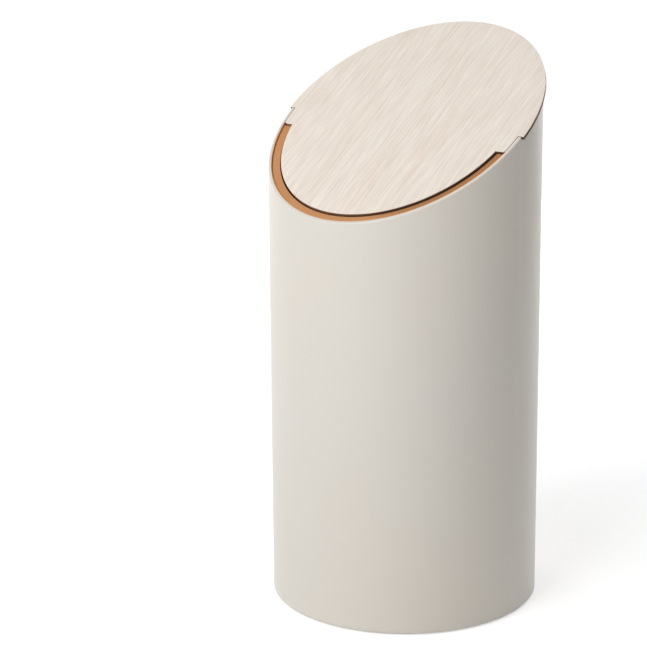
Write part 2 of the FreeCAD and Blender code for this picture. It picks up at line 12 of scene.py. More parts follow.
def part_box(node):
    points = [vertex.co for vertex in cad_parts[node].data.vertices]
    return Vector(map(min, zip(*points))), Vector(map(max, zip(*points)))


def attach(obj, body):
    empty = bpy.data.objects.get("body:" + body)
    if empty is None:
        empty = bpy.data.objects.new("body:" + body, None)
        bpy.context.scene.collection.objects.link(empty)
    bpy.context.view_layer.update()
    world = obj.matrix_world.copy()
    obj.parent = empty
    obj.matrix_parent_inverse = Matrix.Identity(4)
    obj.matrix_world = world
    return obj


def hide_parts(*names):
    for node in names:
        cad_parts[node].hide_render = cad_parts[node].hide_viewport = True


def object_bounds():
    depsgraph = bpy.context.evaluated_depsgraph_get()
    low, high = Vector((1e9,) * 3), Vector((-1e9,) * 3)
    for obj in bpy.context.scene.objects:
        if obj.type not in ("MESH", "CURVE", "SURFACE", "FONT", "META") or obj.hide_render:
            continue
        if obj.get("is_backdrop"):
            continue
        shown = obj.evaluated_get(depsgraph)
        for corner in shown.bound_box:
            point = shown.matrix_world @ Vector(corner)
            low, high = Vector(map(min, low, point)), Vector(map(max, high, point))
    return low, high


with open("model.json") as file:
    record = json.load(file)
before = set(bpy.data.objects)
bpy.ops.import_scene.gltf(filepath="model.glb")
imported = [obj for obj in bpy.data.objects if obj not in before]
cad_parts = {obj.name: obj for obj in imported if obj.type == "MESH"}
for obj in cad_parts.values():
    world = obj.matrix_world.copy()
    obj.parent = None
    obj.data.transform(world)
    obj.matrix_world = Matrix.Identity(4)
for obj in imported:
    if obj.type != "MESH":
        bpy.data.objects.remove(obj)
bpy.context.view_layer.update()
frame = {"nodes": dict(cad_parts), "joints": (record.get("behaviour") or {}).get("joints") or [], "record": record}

bl_info = {
    "name": "Slanted waste bin",
    "version": (1, 0, 0),
    "blender": (4, 5, 0),
    "location": "View3D > Sidebar > Waste bin",
    "description": "Surfaces, finishes and a studio stage for a waste bin with a swing lid",
    "category": "Object",
}

# Sizes of the bin that the frame's boxes don't give, in metres and radians
SLANT = math.radians(29.7)
MOUTH_HEIGHT = 0.417
LIP_HEIGHT = 0.0033
LIP_END_RUN = 0.0024
SHELL_WALL = 0.003
COLLAR_WALL = 0.0067
FRONT_LEDGE_RISE = 0.0013
FRONT_LEDGE_GAP = 0.001
BASE_HOOP_WALL = 0.010
LID_OVERHANG = 0.0017
LID_GAP = 0.0005
VENEER_THICKNESS = 0.0005
FLAP_GAP = 0.00165
FLAP_SHIFT = 0.00085
TAB_GAP = 0.0006
TAB_FRONT_RUN = 0.0223
TAB_ROUND = 0.002
LIP_END_GAP = 0.0009
FLANGE_THICKNESS = 0.0012
BUSH_WALL = 0.001
BUSH_FLANGE_MARGIN = 0.0006
RUNNING_GAP = 0.00005
CLIP_THICKNESS = 0.001
CLIP_EAR = 0.008
CLIP_BEND = 0.0008
BASE_SCREW_COUNT = 6
BASE_SCREW_HEAD = 0.0035
BASE_SCREW_SINK = 0.0022
BASE_SCREW_SHANK = 0.00175
BASE_SCREW_TIP = 0.003
CLIP_SCREW_HEAD = 0.0024
CLIP_SCREW_DOME = 0.0015
CLIP_SCREW_SHANK = 0.00125
CLIP_SCREW_LENGTH = 0.004
CLIP_SCREW_TIP = 0.001
STOP_ROUND = 0.0015

# What the frame gives
RECORD = frame["record"]
NODE_BODY = {node: body for body, nodes in RECORD["behaviour"]["bodies"].items() for node in nodes}
PIVOT = next(joint["pos_m"] for joint in frame["joints"] if joint["name"] == "lid_swing")
SHELL_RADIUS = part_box("outer_shell")[1].x
FOOT_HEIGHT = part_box("outer_shell")[0].z
COLLAR_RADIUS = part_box("lid_collar")[1].x
COLLAR_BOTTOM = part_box("lid_collar")[0].z
BACKING_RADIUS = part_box("lid_backing")[1].x
ROD_HALF_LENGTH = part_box("pivot_rod")[1].x
ROD_RADIUS = (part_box("pivot_rod")[1].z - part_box("pivot_rod")[0].z) / 2

# Radii and places worked out from them
BORE_RADIUS = SHELL_RADIUS - SHELL_WALL
COLLAR_BORE = COLLAR_RADIUS - COLLAR_WALL
LID_RADIUS = SHELL_RADIUS + LID_OVERHANG
TAB_RADIUS = BORE_RADIUS - TAB_GAP
FLAP_RADIUS = COLLAR_BORE - FLAP_GAP
SLOPE = math.tan(SLANT)
SEAT_HEIGHT = MOUTH_HEIGHT - LIP_HEIGHT / math.cos(SLANT)
LID_CENTRE = (LID_GAP + LIP_HEIGHT) / 2 * SLOPE
FLAP_CENTRE = LID_CENTRE - FLAP_SHIFT / math.cos(SLANT)
STEP_RUN = LIP_END_GAP - LIP_END_RUN
LID_END_RUN = LID_RADIUS / math.cos(SLANT) + LIP_HEIGHT
PIVOT_RUN = PIVOT[1] * math.cos(SLANT) + (PIVOT[2] - SEAT_HEIGHT) * math.sin(SLANT)
PIVOT_RISE = (PIVOT[2] - SEAT_HEIGHT) * math.cos(SLANT) - PIVOT[1] * math.sin(SLANT)

# Direction square to the slope, and distances along and square to it from the middle of the foot
SLOPE_UP = (0, -math.sin(SLANT), math.cos(SLANT))
MOUTH_UP = MOUTH_HEIGHT * math.cos(SLANT)
SEAT_UP = SEAT_HEIGHT * math.cos(SLANT)
TAB_FRONT_ALONG = SEAT_HEIGHT * math.sin(SLANT) - TAB_FRONT_RUN

# How finely the surfaces are drawn
CORNER_STEPS = 6
LID_ARC_POINTS = 72
TAB_POINTS = 12
FACE_SHARES = (0.2, 0.45, 0.7, 0.9)
HEAD_SHARES = np.linspace(0.06, 1, 18)
SHARP_ANGLE = math.radians(38)

# Cross sunk in a screw's head, in shares of the head's radius
DRIVE_ARM_SHARE = 1 / 6
DRIVE_REACH_SHARE = 1 / 2
DRIVE_SOFT_SHARE = 1 / 10

# What the finishes share
NOISE_LOW = 0.3
NOISE_HIGH = 0.7
PAINT_FULL_SHARE = 1.2
BLUSH_ACROSS_SHARE = 1 / 9
BLUSH_ALONG_SHARE = 1 / 4

# Camera of the photograph: a long lens that looks down on the low side from its right
CAMERA_TURN = math.radians(35.59)
CAMERA_PITCH = math.radians(16.11)
CAMERA_ROLL = 0.0079
CAMERA_LENS_MM = 130.03
CAMERA_ASIDE = -0.06950
CAMERA_BACK = 1.92372
CAMERA_HEIGHT = 0.79511


def display(red, green, blue):
    """Linear colour of a colour as a screen shows it, each channel from 0 to 255."""
    shares = np.array((red, green, blue)) / 255
    return tuple(np.where(shares > 0.04045, ((shares + 0.055) / 1.055) ** 2.4, shares / 12.92))


def length(label, words, size):
    return FloatProperty(name=label, description=words, default=size, min=0, unit="LENGTH", precision=5)


def colour(label, words, *shown):
    return FloatVectorProperty(name=label, description=words, default=display(*shown), size=3, min=0, max=1,
                               subtype="COLOR")


def amount(label, words, size):
    return FloatProperty(name=label, description=words, default=size, min=0)


def wattage(label, words, watts):
    return FloatProperty(name=label, description=words, default=watts, min=0, unit="POWER")


def number_of(label, words, number, least):
    return IntProperty(name=label, description=words, default=number, min=least)


class BinSizes(bpy.types.PropertyGroup):
    """Sizes of the dressed surfaces that change no fit between pieces."""
    lip_round: length("Lip round", "Round on the outer edge of the shell's lip", 0.0012)
    foot_round: length("Foot round", "Round on the outer edge of the shell's foot", 0.0015)
    bare_edge: length("Bare edge", "Width of the lip's top left bare inside the paint", 0.0007)
    cut_edge: length("Cut edge", "Break on the sawn edges of tubes and hoops", 0.0003)
    ledge_edge: length("Ledge edge", "Break on the sawn edges of the collar", 0.00008)
    board_edge: length("Board edge", "Break on the edges of the lid's boards", 0.00018)
    metal_edge: length("Metal edge", "Break on the edges of small metal and nylon pieces", 0.0002)
    pad_groove: length("Pad groove", "Depth of the dished middle of a foot pad", 0.0006)
    thread_depth: length("Thread depth", "Depth of the screws' thread", 0.0003)
    thread_pitch: length("Thread pitch", "Rise of the screws' thread in a turn", 0.0012)
    lip_shine: length("Lip shine", "Width of the shinier band along the lip", 0.0012)
    foot_wear: length("Foot wear", "Height of the rubbed paint along the foot", 0.004)
    seat_wear: length("Seat wear", "Width of the worn band along the collar's seat", 0.0015)
    pad_scuff: length("Pad scuff", "Height of the scuffed rim of a foot pad", 0.0015)
    columns: number_of("Columns", "Columns of points round the shell", 240, least=24)
    small_columns: number_of("Small columns", "Columns of points round small turned pieces", 64, least=12)
    grain_across: amount("Grain across", "Streaks of the veneer in a metre across the grain", 520)
    grain_along: amount("Grain along", "Streaks of the veneer in a metre along the grain", 15)


class BinColours(bpy.types.PropertyGroup):
    """Colours of the finishes."""
    paint: colour("Paint", "Ivory paint of the shell", 226, 222, 214)
    paint_warm: colour("Warm paint", "Warmer cloud in the ivory paint", 228, 220, 209)
    paint_worn: colour("Worn paint", "Rubbed paint along the foot", 206, 201, 192)
    veneer: colour("Veneer", "Pale face of the lid", 251, 243, 233)
    veneer_streak: colour("Veneer streak", "Darker streaks of the lid's face", 216, 200, 184)
    veneer_blush: colour("Veneer blush", "Pinkish bands of the lid's face", 247, 233, 219)
    core: colour("Core", "Dark board of the lid", 96, 68, 47)
    core_dark: colour("Dark core", "Darker fibres of the lid's board", 58, 38, 24)
    # Painted light: a lighter colour laid on the flap's cut edge, which otherwise lies in shade
    core_painted_light: colour("Core painted light", "Painted light on the flap's cut edge, strongest on the left", 190, 146, 112)
    collar: colour("Collar", "Raw tan board of the collar", 211, 154, 104)
    collar_dark: colour("Dark collar", "Darker fibres of the collar", 190, 130, 78)
    # Painted shade: a browner colour that stands in for shade on the right of the collar
    collar_painted_shade: colour("Collar painted shade", "Painted shade on the collar, on the right", 168, 112, 66)
    # Painted light: the bare board of the lip is given a lighter tan than the collar to lift its shade
    bare_lip_painted_light: colour("Bare lip with painted light", "Bare board inside the painted lip, lightened by painted light", 240, 194, 146)
    board: colour("Board", "Raw board of hoops, base and backing", 203, 172, 136)
    board_dark: colour("Dark board", "Darker fibres of the raw board", 172, 136, 98)
    steel: colour("Steel", "Zinc plate on rod, clips and screws", 205, 206, 208)
    nylon: colour("Nylon", "Natural nylon of the bushes", 232, 229, 219)
    beech: colour("Beech", "Dowels that stop the swing", 214, 178, 136)
    beech_dark: colour("Dark beech", "Darker streaks of the dowels", 184, 140, 98)
    felt: colour("Felt", "Felt of the rest pads", 152, 126, 102)
    felt_dark: colour("Dark felt", "Darker hairs of the felt", 112, 90, 70)
    rubber: colour("Rubber", "Rubber of the foot pads", 58, 55, 52)
    floor: colour("Floor", "Pale floor of the stage", 238, 238, 238)


class StageLight(bpy.types.PropertyGroup):
    """Strengths of the studio light."""
    sky: amount("Sky", "Even light from all round", 0.275)
    key_power: wattage("Key power", "Power of the large soft lamp", 44)
    key_size: length("Key size", "Side of the large soft lamp", 1.5)
    right_power: wattage("Right power", "Power of the lamp behind on the right", 16)
    left_power: wattage("Left power", "Power of the lamp behind on the left", 10)
    edge_size: length("Edge size", "Side of the two lamps behind", 0.8)
    near_glow: amount("Near glow", "Light that the camera sees the floor give off beside the bin", 0.56)
    far_glow: amount("Far glow", "Light that the camera sees the floor give off far away", 0.84)


# Shapes
def unit(vectors):
    """Vectors divided by their own lengths."""
    return vectors / np.linalg.norm(vectors, axis=-1, keepdims=True)


def rounded(corners, radii):
    """Closed outline with an arc at each corner.

    The arc's centre is on the corner's bisector, at radius / sin(half the angle). From one tangent point a
    to the other b, both seen from that centre, a point is (sin((1 - k) w) a + sin(k w) b) / sin(w), with k
    from 0 to 1 and w the arc's sweep.
    """
    corners = np.asarray(corners, float)
    radii = np.asarray(radii, float)
    radii = radii.reshape(radii.shape + (1,) * (corners.ndim - radii.ndim))
    to_last = unit(np.roll(corners, 1, axis=0) - corners)
    to_next = unit(np.roll(corners, -1, axis=0) - corners)
    half = np.arccos(np.clip((to_last * to_next).sum(-1, keepdims=True), -1, 1)) / 2
    centre = corners + unit(to_last + to_next) * radii / np.sin(half)
    start = corners + to_last * radii / np.tan(half) - centre
    end = corners + to_next * radii / np.tan(half) - centre
    sweep = np.pi - 2 * half
    arcs = [
        centre + (np.sin((1 - share) * sweep) * start + np.sin(share * sweep) * end) / np.sin(sweep)
        for share in np.linspace(0, 1, CORNER_STEPS)
    ]
    return np.stack(arcs, axis=1).reshape(-1, *corners.shape[1:])


def surface(rings, poles=None):
    """Points and blocks of faces of rings of points that run anticlockwise seen from the last ring.

    Quads join each ring to the next. The ends close in fans to two poles, or else in a loop.
    """
    count, around = rings.shape[:2]
    index = np.arange(count * around).reshape(count, around)
    rows = np.vstack((index, index[:1])) if poles is None else index
    low, high = rows[:-1], rows[1:]
    quads = np.stack((low, np.roll(low, -1, axis=1), np.roll(high, -1, axis=1), high), axis=-1)
    points = rings.reshape(-1, 3)
    faces = [quads.reshape(-1, 4)]
    if poles is not None:
        start, end = np.full(around, len(points)), np.full(around, len(points) + 1)
        points = np.vstack((points, poles))
        faces.append(np.stack((np.roll(index[0], -1), index[0], start), axis=-1))
        faces.append(np.stack((index[-1], np.roll(index[-1], -1), end), axis=-1))
    return points, faces


def joined(surfaces):
    """One surface of several: each one's faces count on from the points before them."""
    points = np.vstack([made_points for made_points, _ in surfaces])
    starts = np.cumsum([0] + [len(made_points) for made_points, _ in surfaces[:-1]])
    faces = [start + block for start, (_, blocks) in zip(starts, surfaces) for block in blocks]
    return points, faces


def round_angles(count):
    """Even angles round a full turn, from 0."""
    return np.linspace(0, 2 * np.pi, count, endpoint=False)


def turned(corners, radii, count):
    """Outline of (radius, height) corners turned about Z: x = r cos a, y = r sin a.

    An outline that starts and ends on the axis closes there at two poles.
    """
    outline = rounded(corners, radii)
    poles = None
    if corners[0][0] == 0:
        outline = outline[CORNER_STEPS:-CORNER_STEPS]
        poles = [(0, 0, corners[0][1]), (0, 0, corners[-1][1])]
    angle = round_angles(count)
    radius, height = outline[:, :1], outline[:, 1:] + np.zeros(count)
    return surface(np.stack((radius * np.cos(angle), radius * np.sin(angle), height), axis=-1), poles)


def hoop(outer, inner, bottom, level, slope, radii, outer_angle, inner_angle):
    """Tube wall with a level foot and a top on a plane: z = level on the axis + slope * y.

    Each column of points is the wall's section at its angle, with its own rounded corners. Its angle goes
    evenly from the one at the outer face to the one at the inner face.
    """
    flat = np.ones_like(outer_angle)
    corners = np.stack([
        np.stack((outer * flat, bottom * flat), axis=-1),
        np.stack((outer * flat, level + slope * outer * np.sin(outer_angle)), axis=-1),
        np.stack((inner * flat, level + slope * inner * np.sin(inner_angle)), axis=-1),
        np.stack((inner * flat, bottom * flat), axis=-1),
    ])
    section = rounded(corners, radii)
    radius = section[..., 0]
    angle = inner_angle + (outer_angle - inner_angle) * (radius - inner) / (outer - inner)
    return surface(np.stack((radius * np.cos(angle), radius * np.sin(angle), section[..., 1]), axis=-1))


def stepped_tube(outer, inner, bottom, step_run, front_rise, foot_round, front_round, edge, count):
    """Tube cut off along the seat, and higher by the rise downhill of a step across the slope.

    A column stands at each edge of the step's face. At the inner face the columns near it lean by the angle
    that keeps them in the step's plane, asin(y / inner) - asin(y / outer), fading out round the tube.
    """
    front_y, back_y = slope_y(step_run, np.array((front_rise, 0)))
    step_y = (front_y + back_y) / 2
    even = round_angles(count) - np.pi / 2
    even = even[abs(outer * np.sin(even) - step_y) > 2 * (back_y - front_y)]
    ends = np.arcsin(np.array((front_y, back_y)) / outer)
    angle = np.sort(np.concatenate((even, ends, np.pi - ends)))
    away = outer * np.sin(angle) - step_y
    lean = math.asin(step_y / inner) - math.asin(step_y / outer)
    leaning = angle + lean * np.clip(1 - 2 * abs(away) / outer, 0, 1) * np.sign(np.cos(angle))
    in_front = away < 0
    level = SEAT_HEIGHT + np.where(in_front, front_rise / math.cos(SLANT), 0)
    edges = np.full_like(angle, edge)
    radii = np.stack((np.full_like(angle, foot_round), np.where(in_front, front_round, edge), edges, edges))
    return hoop(outer, inner, bottom, level, SLOPE, radii, angle, leaning)


def slope_points(across, run, rise):
    """Points of slope coordinates, with s the slant.

    y = run cos s - rise sin s and z = seat height + run sin s + rise cos s.
    """
    across, run, rise = np.broadcast_arrays(across, run, rise)
    y = run * math.cos(SLANT) - rise * math.sin(SLANT)
    z = SEAT_HEIGHT + run * math.sin(SLANT) + rise * math.cos(SLANT)
    return np.stack((across, y, z), axis=-1)


def slope_y(run, rise):
    """Level y of slope coordinates: run cos s - rise sin s."""
    return slope_points(0.0, run, rise)[..., 1]


def lid_arc(radius, centre, start_run, end_run, count):
    """Right-hand stretch of the ellipse that a tube cuts from the slope, between two runs.

    x = radius cos t and run = centre + radius sin t / cos s, where t goes from the one run to the other.
    """
    sines = (np.array((start_run, end_run)) - centre) * math.cos(SLANT) / radius
    turn = np.linspace(*np.arcsin(np.clip(sines, -1, 1)), count)
    return np.stack((radius * np.cos(turn), centre + radius * np.sin(turn) / math.cos(SLANT)), axis=-1)


def both_sides(right):
    """Closed outline of a right-hand half that starts and ends on the middle line, and its mirror image."""
    return np.vstack((right, right[-2:0:-1] * (-1, 1)))


def lid_outline():
    """The narrow flap, a tab beside each end of the lip, and the full width uphill of the tabs."""
    flap = lid_arc(FLAP_RADIUS, FLAP_CENTRE, -LID_END_RUN, -TAB_FRONT_RUN, LID_ARC_POINTS)
    tab = lid_arc(TAB_RADIUS, LID_CENTRE, -TAB_FRONT_RUN, STEP_RUN, TAB_POINTS)
    rear = lid_arc(LID_RADIUS, LID_CENTRE, STEP_RUN, LID_END_RUN, LID_ARC_POINTS)
    corners = rounded((flap[-1], tab[0], tab[-1]), (0, TAB_ROUND, 0))
    tab_corner = corners[CORNER_STEPS:2 * CORNER_STEPS]
    return both_sides(np.vstack((flap, tab_corner, tab[2:], rear)))


def plate(outline, bottom, top, edge):
    """Board on the slope with broken edges.

    Rings of the outline run out from the middle along the underside, round the lower edge, round the upper
    edge and back to the middle along the face. An edge's ring lies edge (sin t - 1) outside the outline and
    edge (1 - cos t) above the underside, with t over a quarter turn.
    """
    tangent = np.roll(outline, -1, axis=0) - np.roll(outline, 1, axis=0)
    outward = unit(np.stack((tangent[:, 1], -tangent[:, 0]), axis=-1))
    middle = np.array((0, LID_CENTRE))
    turn = np.linspace(0, np.pi / 2, CORNER_STEPS)
    face = [middle + share * (outline - middle) for share in FACE_SHARES]
    edges = [outline + edge * (np.sin(step) - 1) * outward for step in turn]
    rises = edge * (1 - np.cos(turn))
    layers = [(ring, bottom) for ring in face]
    layers += [(ring, bottom + rise) for ring, rise in zip(edges, rises)]
    layers += [(ring, top - rise) for ring, rise in zip(edges[::-1], rises[::-1])]
    layers += [(ring, top) for ring in face[::-1]]
    rings = np.stack([slope_points(ring[:, 0], ring[:, 1], rise) for ring, rise in layers])
    return surface(rings, slope_points(np.zeros(2), LID_CENTRE, np.array((bottom, top))))


def strap(path, width, thickness, edge, across):
    """Strip on the slope: a rounded rectangle carried along a path of run and rise, square to it."""
    tangent = unit(np.gradient(path, axis=0))
    normal = np.stack((-tangent[:, 1], tangent[:, 0]), axis=-1)
    half_width, half_thickness = width / 2, thickness / 2
    section = rounded(
        ((half_thickness, -half_width), (half_thickness, half_width),
         (-half_thickness, half_width), (-half_thickness, -half_width)),
        np.full(4, edge),
    )
    spread = path[:, None, :] + section[None, :, :1] * normal[:, None, :]
    rings = slope_points(across + section[:, 1], spread[..., 0], spread[..., 1])
    ends = path[[0, -1]]
    return surface(rings, slope_points(across, ends[:, 0], ends[:, 1]))


def arc(centre, radius, start, end, count):
    """Points of a circle from one angle to another: centre + radius (cos a, sin a)."""
    angle = np.linspace(start, end, count)
    return np.stack((centre[0] + radius * np.cos(angle), centre[1] + radius * np.sin(angle)), axis=-1)


def clip_path():
    """Middle line of a rod clip: a flat ear, a bend, the hump under the rod, a bend and the other ear.

    The bend's circle touches the ear's line and the hump's circle, so its centre is the two radii away from
    the rod's and one bend radius below the ear.
    """
    half = CLIP_THICKNESS / 2
    hump = ROD_RADIUS + RUNNING_GAP + half
    reach = hump + half + CLIP_EAR
    drop = half + CLIP_BEND
    aside = math.sqrt((hump + CLIP_BEND) ** 2 - drop ** 2)
    lean = math.atan2(drop, aside)
    ear = np.array(((-reach, -half), (-(reach + aside) / 2, -half)))
    bend = arc((-aside, -drop), CLIP_BEND, np.pi / 2, lean, CORNER_STEPS)
    left = np.vstack((ear, bend))
    under = arc((0, 0), hump, np.pi + lean, 2 * np.pi - lean, 4 * CORNER_STEPS)[1:-1]
    path = np.vstack((left, under, left[::-1] * (-1, 1)))
    return path + (PIVOT_RUN, PIVOT_RISE)


def screw(face, neck, shank_radius, length_to_tip, tip, sizes, phase):
    """Screw along Z from its driven face to its tip, as rings of points.

    Over the face, a cross is sunk: its depth is half the way from the face to the neck, times a soft box of
    the two arms. On the shank, which the thread winds round, the radius is
    shank - depth (1 + cos(2 pi z / pitch - a)) / 2.
    """
    head_radius = face[-1][0]
    depth = (neck[-1][1] - face[0][1]) / 2
    angle = round_angles(sizes.small_columns)
    thread_rows = 4 * sizes.small_columns // 3
    steps = np.linspace(neck[-1][1], length_to_tip - tip, thread_rows)
    shank = np.stack((np.full_like(steps, shank_radius), steps), axis=-1)
    point = np.array(((shank_radius / 2, length_to_tip - tip / 2),))
    rows = np.vstack((face, neck, shank[1:], point))
    wound = np.zeros((len(rows), 1))
    wound[len(face) + len(neck):-1] = sizes.thread_depth / 2
    radius = rows[:, :1] - wound * (1 + np.cos(2 * np.pi * rows[:, 1:] / sizes.thread_pitch - angle))
    x, y = radius * np.cos(angle + phase), radius * np.sin(angle + phase)
    narrow, wide = np.minimum(abs(x), abs(y)), np.maximum(abs(x), abs(y))
    soft = head_radius * DRIVE_SOFT_SHARE
    in_arm = np.clip((head_radius * DRIVE_ARM_SHARE - narrow) / soft, 0, 1)
    cross = in_arm * np.clip((head_radius * DRIVE_REACH_SHARE - wide) / soft, 0, 1)
    cross[len(face):] = 0
    rings = np.stack((x, y, rows[:, 1:] + depth * cross), axis=-1)
    return surface(rings, [(0, 0, face[0][1] + depth), (0, 0, length_to_tip)])


def along_x(made, side, place):
    """Piece made along Z, laid along X to the right or, turned half round, to the left."""
    points, faces = made
    return points[:, [2, 0, 1]] * (side, side, 1) + place, faces


def numbered(stem):
    """Nodes whose names start with a stem, in order."""
    return sorted(node for node in NODE_BODY if node.startswith(stem))


def add_piece(name, made, material, *nodes):
    """Object of a surface that stands for CAD nodes and rides with their body."""
    points, faces = made
    mesh = bpy.data.meshes.new(name)
    mesh.from_pydata(points, [], [corners for block in faces for corners in block.tolist()])
    mesh.shade_smooth()
    mesh.set_sharp_from_angle(angle=SHARP_ANGLE)
    mesh.materials.append(material)
    if mesh.validate():
        raise RuntimeError(f"{name}: the surface has faces that don't hold")
    piece = bpy.data.objects.new(name, mesh)
    bpy.context.scene.collection.objects.link(piece)
    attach(piece, NODE_BODY[nodes[0]])
    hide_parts(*nodes)
    return piece


# Shader nodes

# Where a Mix node that blends colours has its factor, its two colours and its result
MIX_INPUTS = (0, 6, 7)
MIX_RESULT = 2


def feed(tree, socket, source):
    """Link a socket to another one, or set it to a value."""
    if isinstance(source, bpy.types.NodeSocket):
        tree.links.new(source, socket)
    else:
        socket.default_value = source


def add_node(tree, kind, inputs, **settings):
    """Node with its settings, each input fed by a socket or set to a value."""
    node = tree.nodes.new(kind)
    for name, setting in settings.items():
        setattr(node, name, setting)
    for name, source in inputs.items():
        feed(tree, node.inputs[name], source)
    return node


def maths(tree, operation, first, second=0.0, clamp=False):
    node = add_node(tree, "ShaderNodeMath", {0: first, 1: second}, operation=operation, use_clamp=clamp)
    return node.outputs[0]


def faded(tree, mask, share):
    return maths(tree, "MULTIPLY", mask, share)


def vector_maths(tree, operation, first, second):
    return add_node(tree, "ShaderNodeVectorMath", {0: first, 1: second}, operation=operation).outputs[0]


def span(tree, value, low, high, start=0.0, end=1.0):
    """Value carried from the span low to high onto the span start to end, held at both ends."""
    inputs = {"Value": value, "From Min": low, "From Max": high, "To Min": start, "To Max": end}
    return add_node(tree, "ShaderNodeMapRange", inputs).outputs[0]


def blend_colour(tree, share, first, second):
    """Colour that goes from the first to the second as the share goes from 0 to 1."""
    node = tree.nodes.new("ShaderNodeMix")
    node.data_type = "RGBA"
    factor, first_socket, second_socket = (node.inputs[place] for place in MIX_INPUTS)
    feed(tree, factor, share)
    for socket, source in ((first_socket, first), (second_socket, second)):
        feed(tree, socket, source if isinstance(source, bpy.types.NodeSocket) else (*source, 1))
    return node.outputs[MIX_RESULT]


def shaded(shown, shares):
    """Colour with its channels times a share, or times a share each."""
    return tuple(np.multiply(shown, shares))


def noise(tree, vector, scale, detail):
    inputs = {"Vector": vector, "Scale": scale, "Detail": detail}
    return add_node(tree, "ShaderNodeTexNoise", inputs).outputs[0]


def node_group(name, inputs, outputs, fill):
    """Shader node group made once: fill takes its tree and its inputs and gives its outputs in order."""
    group = bpy.data.node_groups.get(name)
    if group:
        return group
    group = bpy.data.node_groups.new(name, "ShaderNodeTree")
    for socket_name, kind in inputs.items():
        group.interface.new_socket(socket_name, in_out="INPUT", socket_type=kind)
    for socket_name in outputs:
        group.interface.new_socket(socket_name, in_out="OUTPUT", socket_type="NodeSocketFloat")
    entry = group.nodes.new("NodeGroupInput")
    leave = group.nodes.new("NodeGroupOutput")
    for socket, source in zip(leave.inputs, fill(group, entry.outputs)):
        group.links.new(source, socket)
    return group


def place_group(tree, group, **inputs):
    node = tree.nodes.new("ShaderNodeGroup")
    node.node_tree = group
    for name, source in inputs.items():
        feed(tree, node.inputs[name], source)
    return node.outputs


def fibre_group():
    """Streaks along Y: noise stretched by the counts of streaks in a metre across and along the fibres."""
    def fill(tree, given):
        stretch = add_node(tree, "ShaderNodeCombineXYZ", {
            "X": given["Across"], "Y": given["Along"], "Z": given["Across"],
        }).outputs[0]
        laid = vector_maths(tree, "MULTIPLY", given["Vector"], stretch)
        streaks = span(tree, noise(tree, laid, scale=1.0, detail=2.0), NOISE_LOW, NOISE_HIGH)
        hairs = span(tree, noise(tree, laid, scale=2.0, detail=2.0), low=0.36, high=0.64)
        pores = span(tree, noise(tree, laid, scale=4.1, detail=1.0), low=0.66, high=0.74)
        return streaks, hairs, pores
    sockets = {"Vector": "NodeSocketVector", "Across": "NodeSocketFloat", "Along": "NodeSocketFloat"}
    return node_group("fibre streaks", sockets, ("Streaks", "Hairs", "Pores"), fill)


def cloud_group():
    """Soft clouds and fine grit: two noises, counted in features to a metre."""
    def fill(tree, given):
        clouds = noise(tree, given["Vector"], given["Clouds"], detail=2.0)
        grit = noise(tree, given["Vector"], given["Grit"], detail=3.0)
        return span(tree, clouds, NOISE_LOW, NOISE_HIGH), grit
    sockets = {"Vector": "NodeSocketVector", "Clouds": "NodeSocketFloat", "Grit": "NodeSocketFloat"}
    return node_group("clouds and grit", sockets, ("Clouds", "Grit"), fill)


def band_group():
    """Wear in a band along a plane: 1 on the plane, falling to 0 at the width, broken up by noise."""
    def fill(tree, given):
        side = add_node(tree, "ShaderNodeVectorMath", {0: given["Vector"], 1: given["Plane"]},
                        operation="DOT_PRODUCT").outputs["Value"]
        away = maths(tree, "ABSOLUTE", maths(tree, "SUBTRACT", side, given["Level"]))
        near = maths(tree, "SUBTRACT", 1.0, maths(tree, "DIVIDE", away, given["Width"]), clamp=True)
        broken = span(tree, noise(tree, given["Vector"], scale=160.0, detail=4.0), low=0.35, high=0.65)
        return (maths(tree, "MULTIPLY", near, broken),)
    sockets = {"Vector": "NodeSocketVector", "Plane": "NodeSocketVector", "Level": "NodeSocketFloat",
               "Width": "NodeSocketFloat"}
    return node_group("worn band", sockets, ("Band",), fill)


def sight_share(tree):
    """1 for the rays that show the background: the camera's, and those in gloss and through glass."""
    path = tree.nodes.new("ShaderNodeLightPath").outputs
    seen = maths(tree, "MAXIMUM", path["Is Camera Ray"], path["Is Glossy Ray"])
    return maths(tree, "MAXIMUM", seen, path["Is Transmission Ray"])


class Finish:
    """A material in the making: its tree, its object coordinates and its principled shader."""

    def __init__(self, name):
        self.material = bpy.data.materials.new(name)
        self.material.use_nodes = True
        self.tree = self.material.node_tree
        self.shader = self.tree.nodes["Principled BSDF"]
        self.place = self.tree.nodes.new("ShaderNodeTexCoord").outputs["Object"]

    def tilted(self, *angles):
        """Object coordinates turned about X, Y and Z, so that a pattern follows its piece."""
        inputs = {"Vector": self.place, "Rotation": angles}
        return add_node(self.tree, "ShaderNodeMapping", inputs).outputs[0]

    def sides(self, vector):
        return add_node(self.tree, "ShaderNodeSeparateXYZ", {0: vector}).outputs

    def fibres(self, vector, across, along):
        return place_group(self.tree, fibre_group(), Vector=vector, Across=across, Along=along)

    def clouds(self, clouds, grit):
        return place_group(self.tree, cloud_group(), Vector=self.place, Clouds=clouds, Grit=grit)

    def band(self, plane, level, width):
        inputs = {"Vector": self.place, "Plane": plane, "Level": level, "Width": width}
        return place_group(self.tree, band_group(), **inputs)["Band"]

    def roughness(self, mask, smooth, rough, low=0.0, high=1.0):
        """Roughness from smooth to rough while the mask goes from low to high."""
        return span(self.tree, mask, low, high, smooth, rough)

    def bump(self, height, depth, strength):
        inputs = {"Height": height, "Distance": depth, "Strength": strength}
        return add_node(self.tree, "ShaderNodeBump", inputs).outputs[0]

    def done(self, **inputs):
        """The material, with inputs of its shader fed: an underscore stands for a space in their names."""
        for name, source in inputs.items():
            feed(self.tree, self.shader.inputs[name.replace("_", " ")], source)
        return self.material


FINISHES = {}


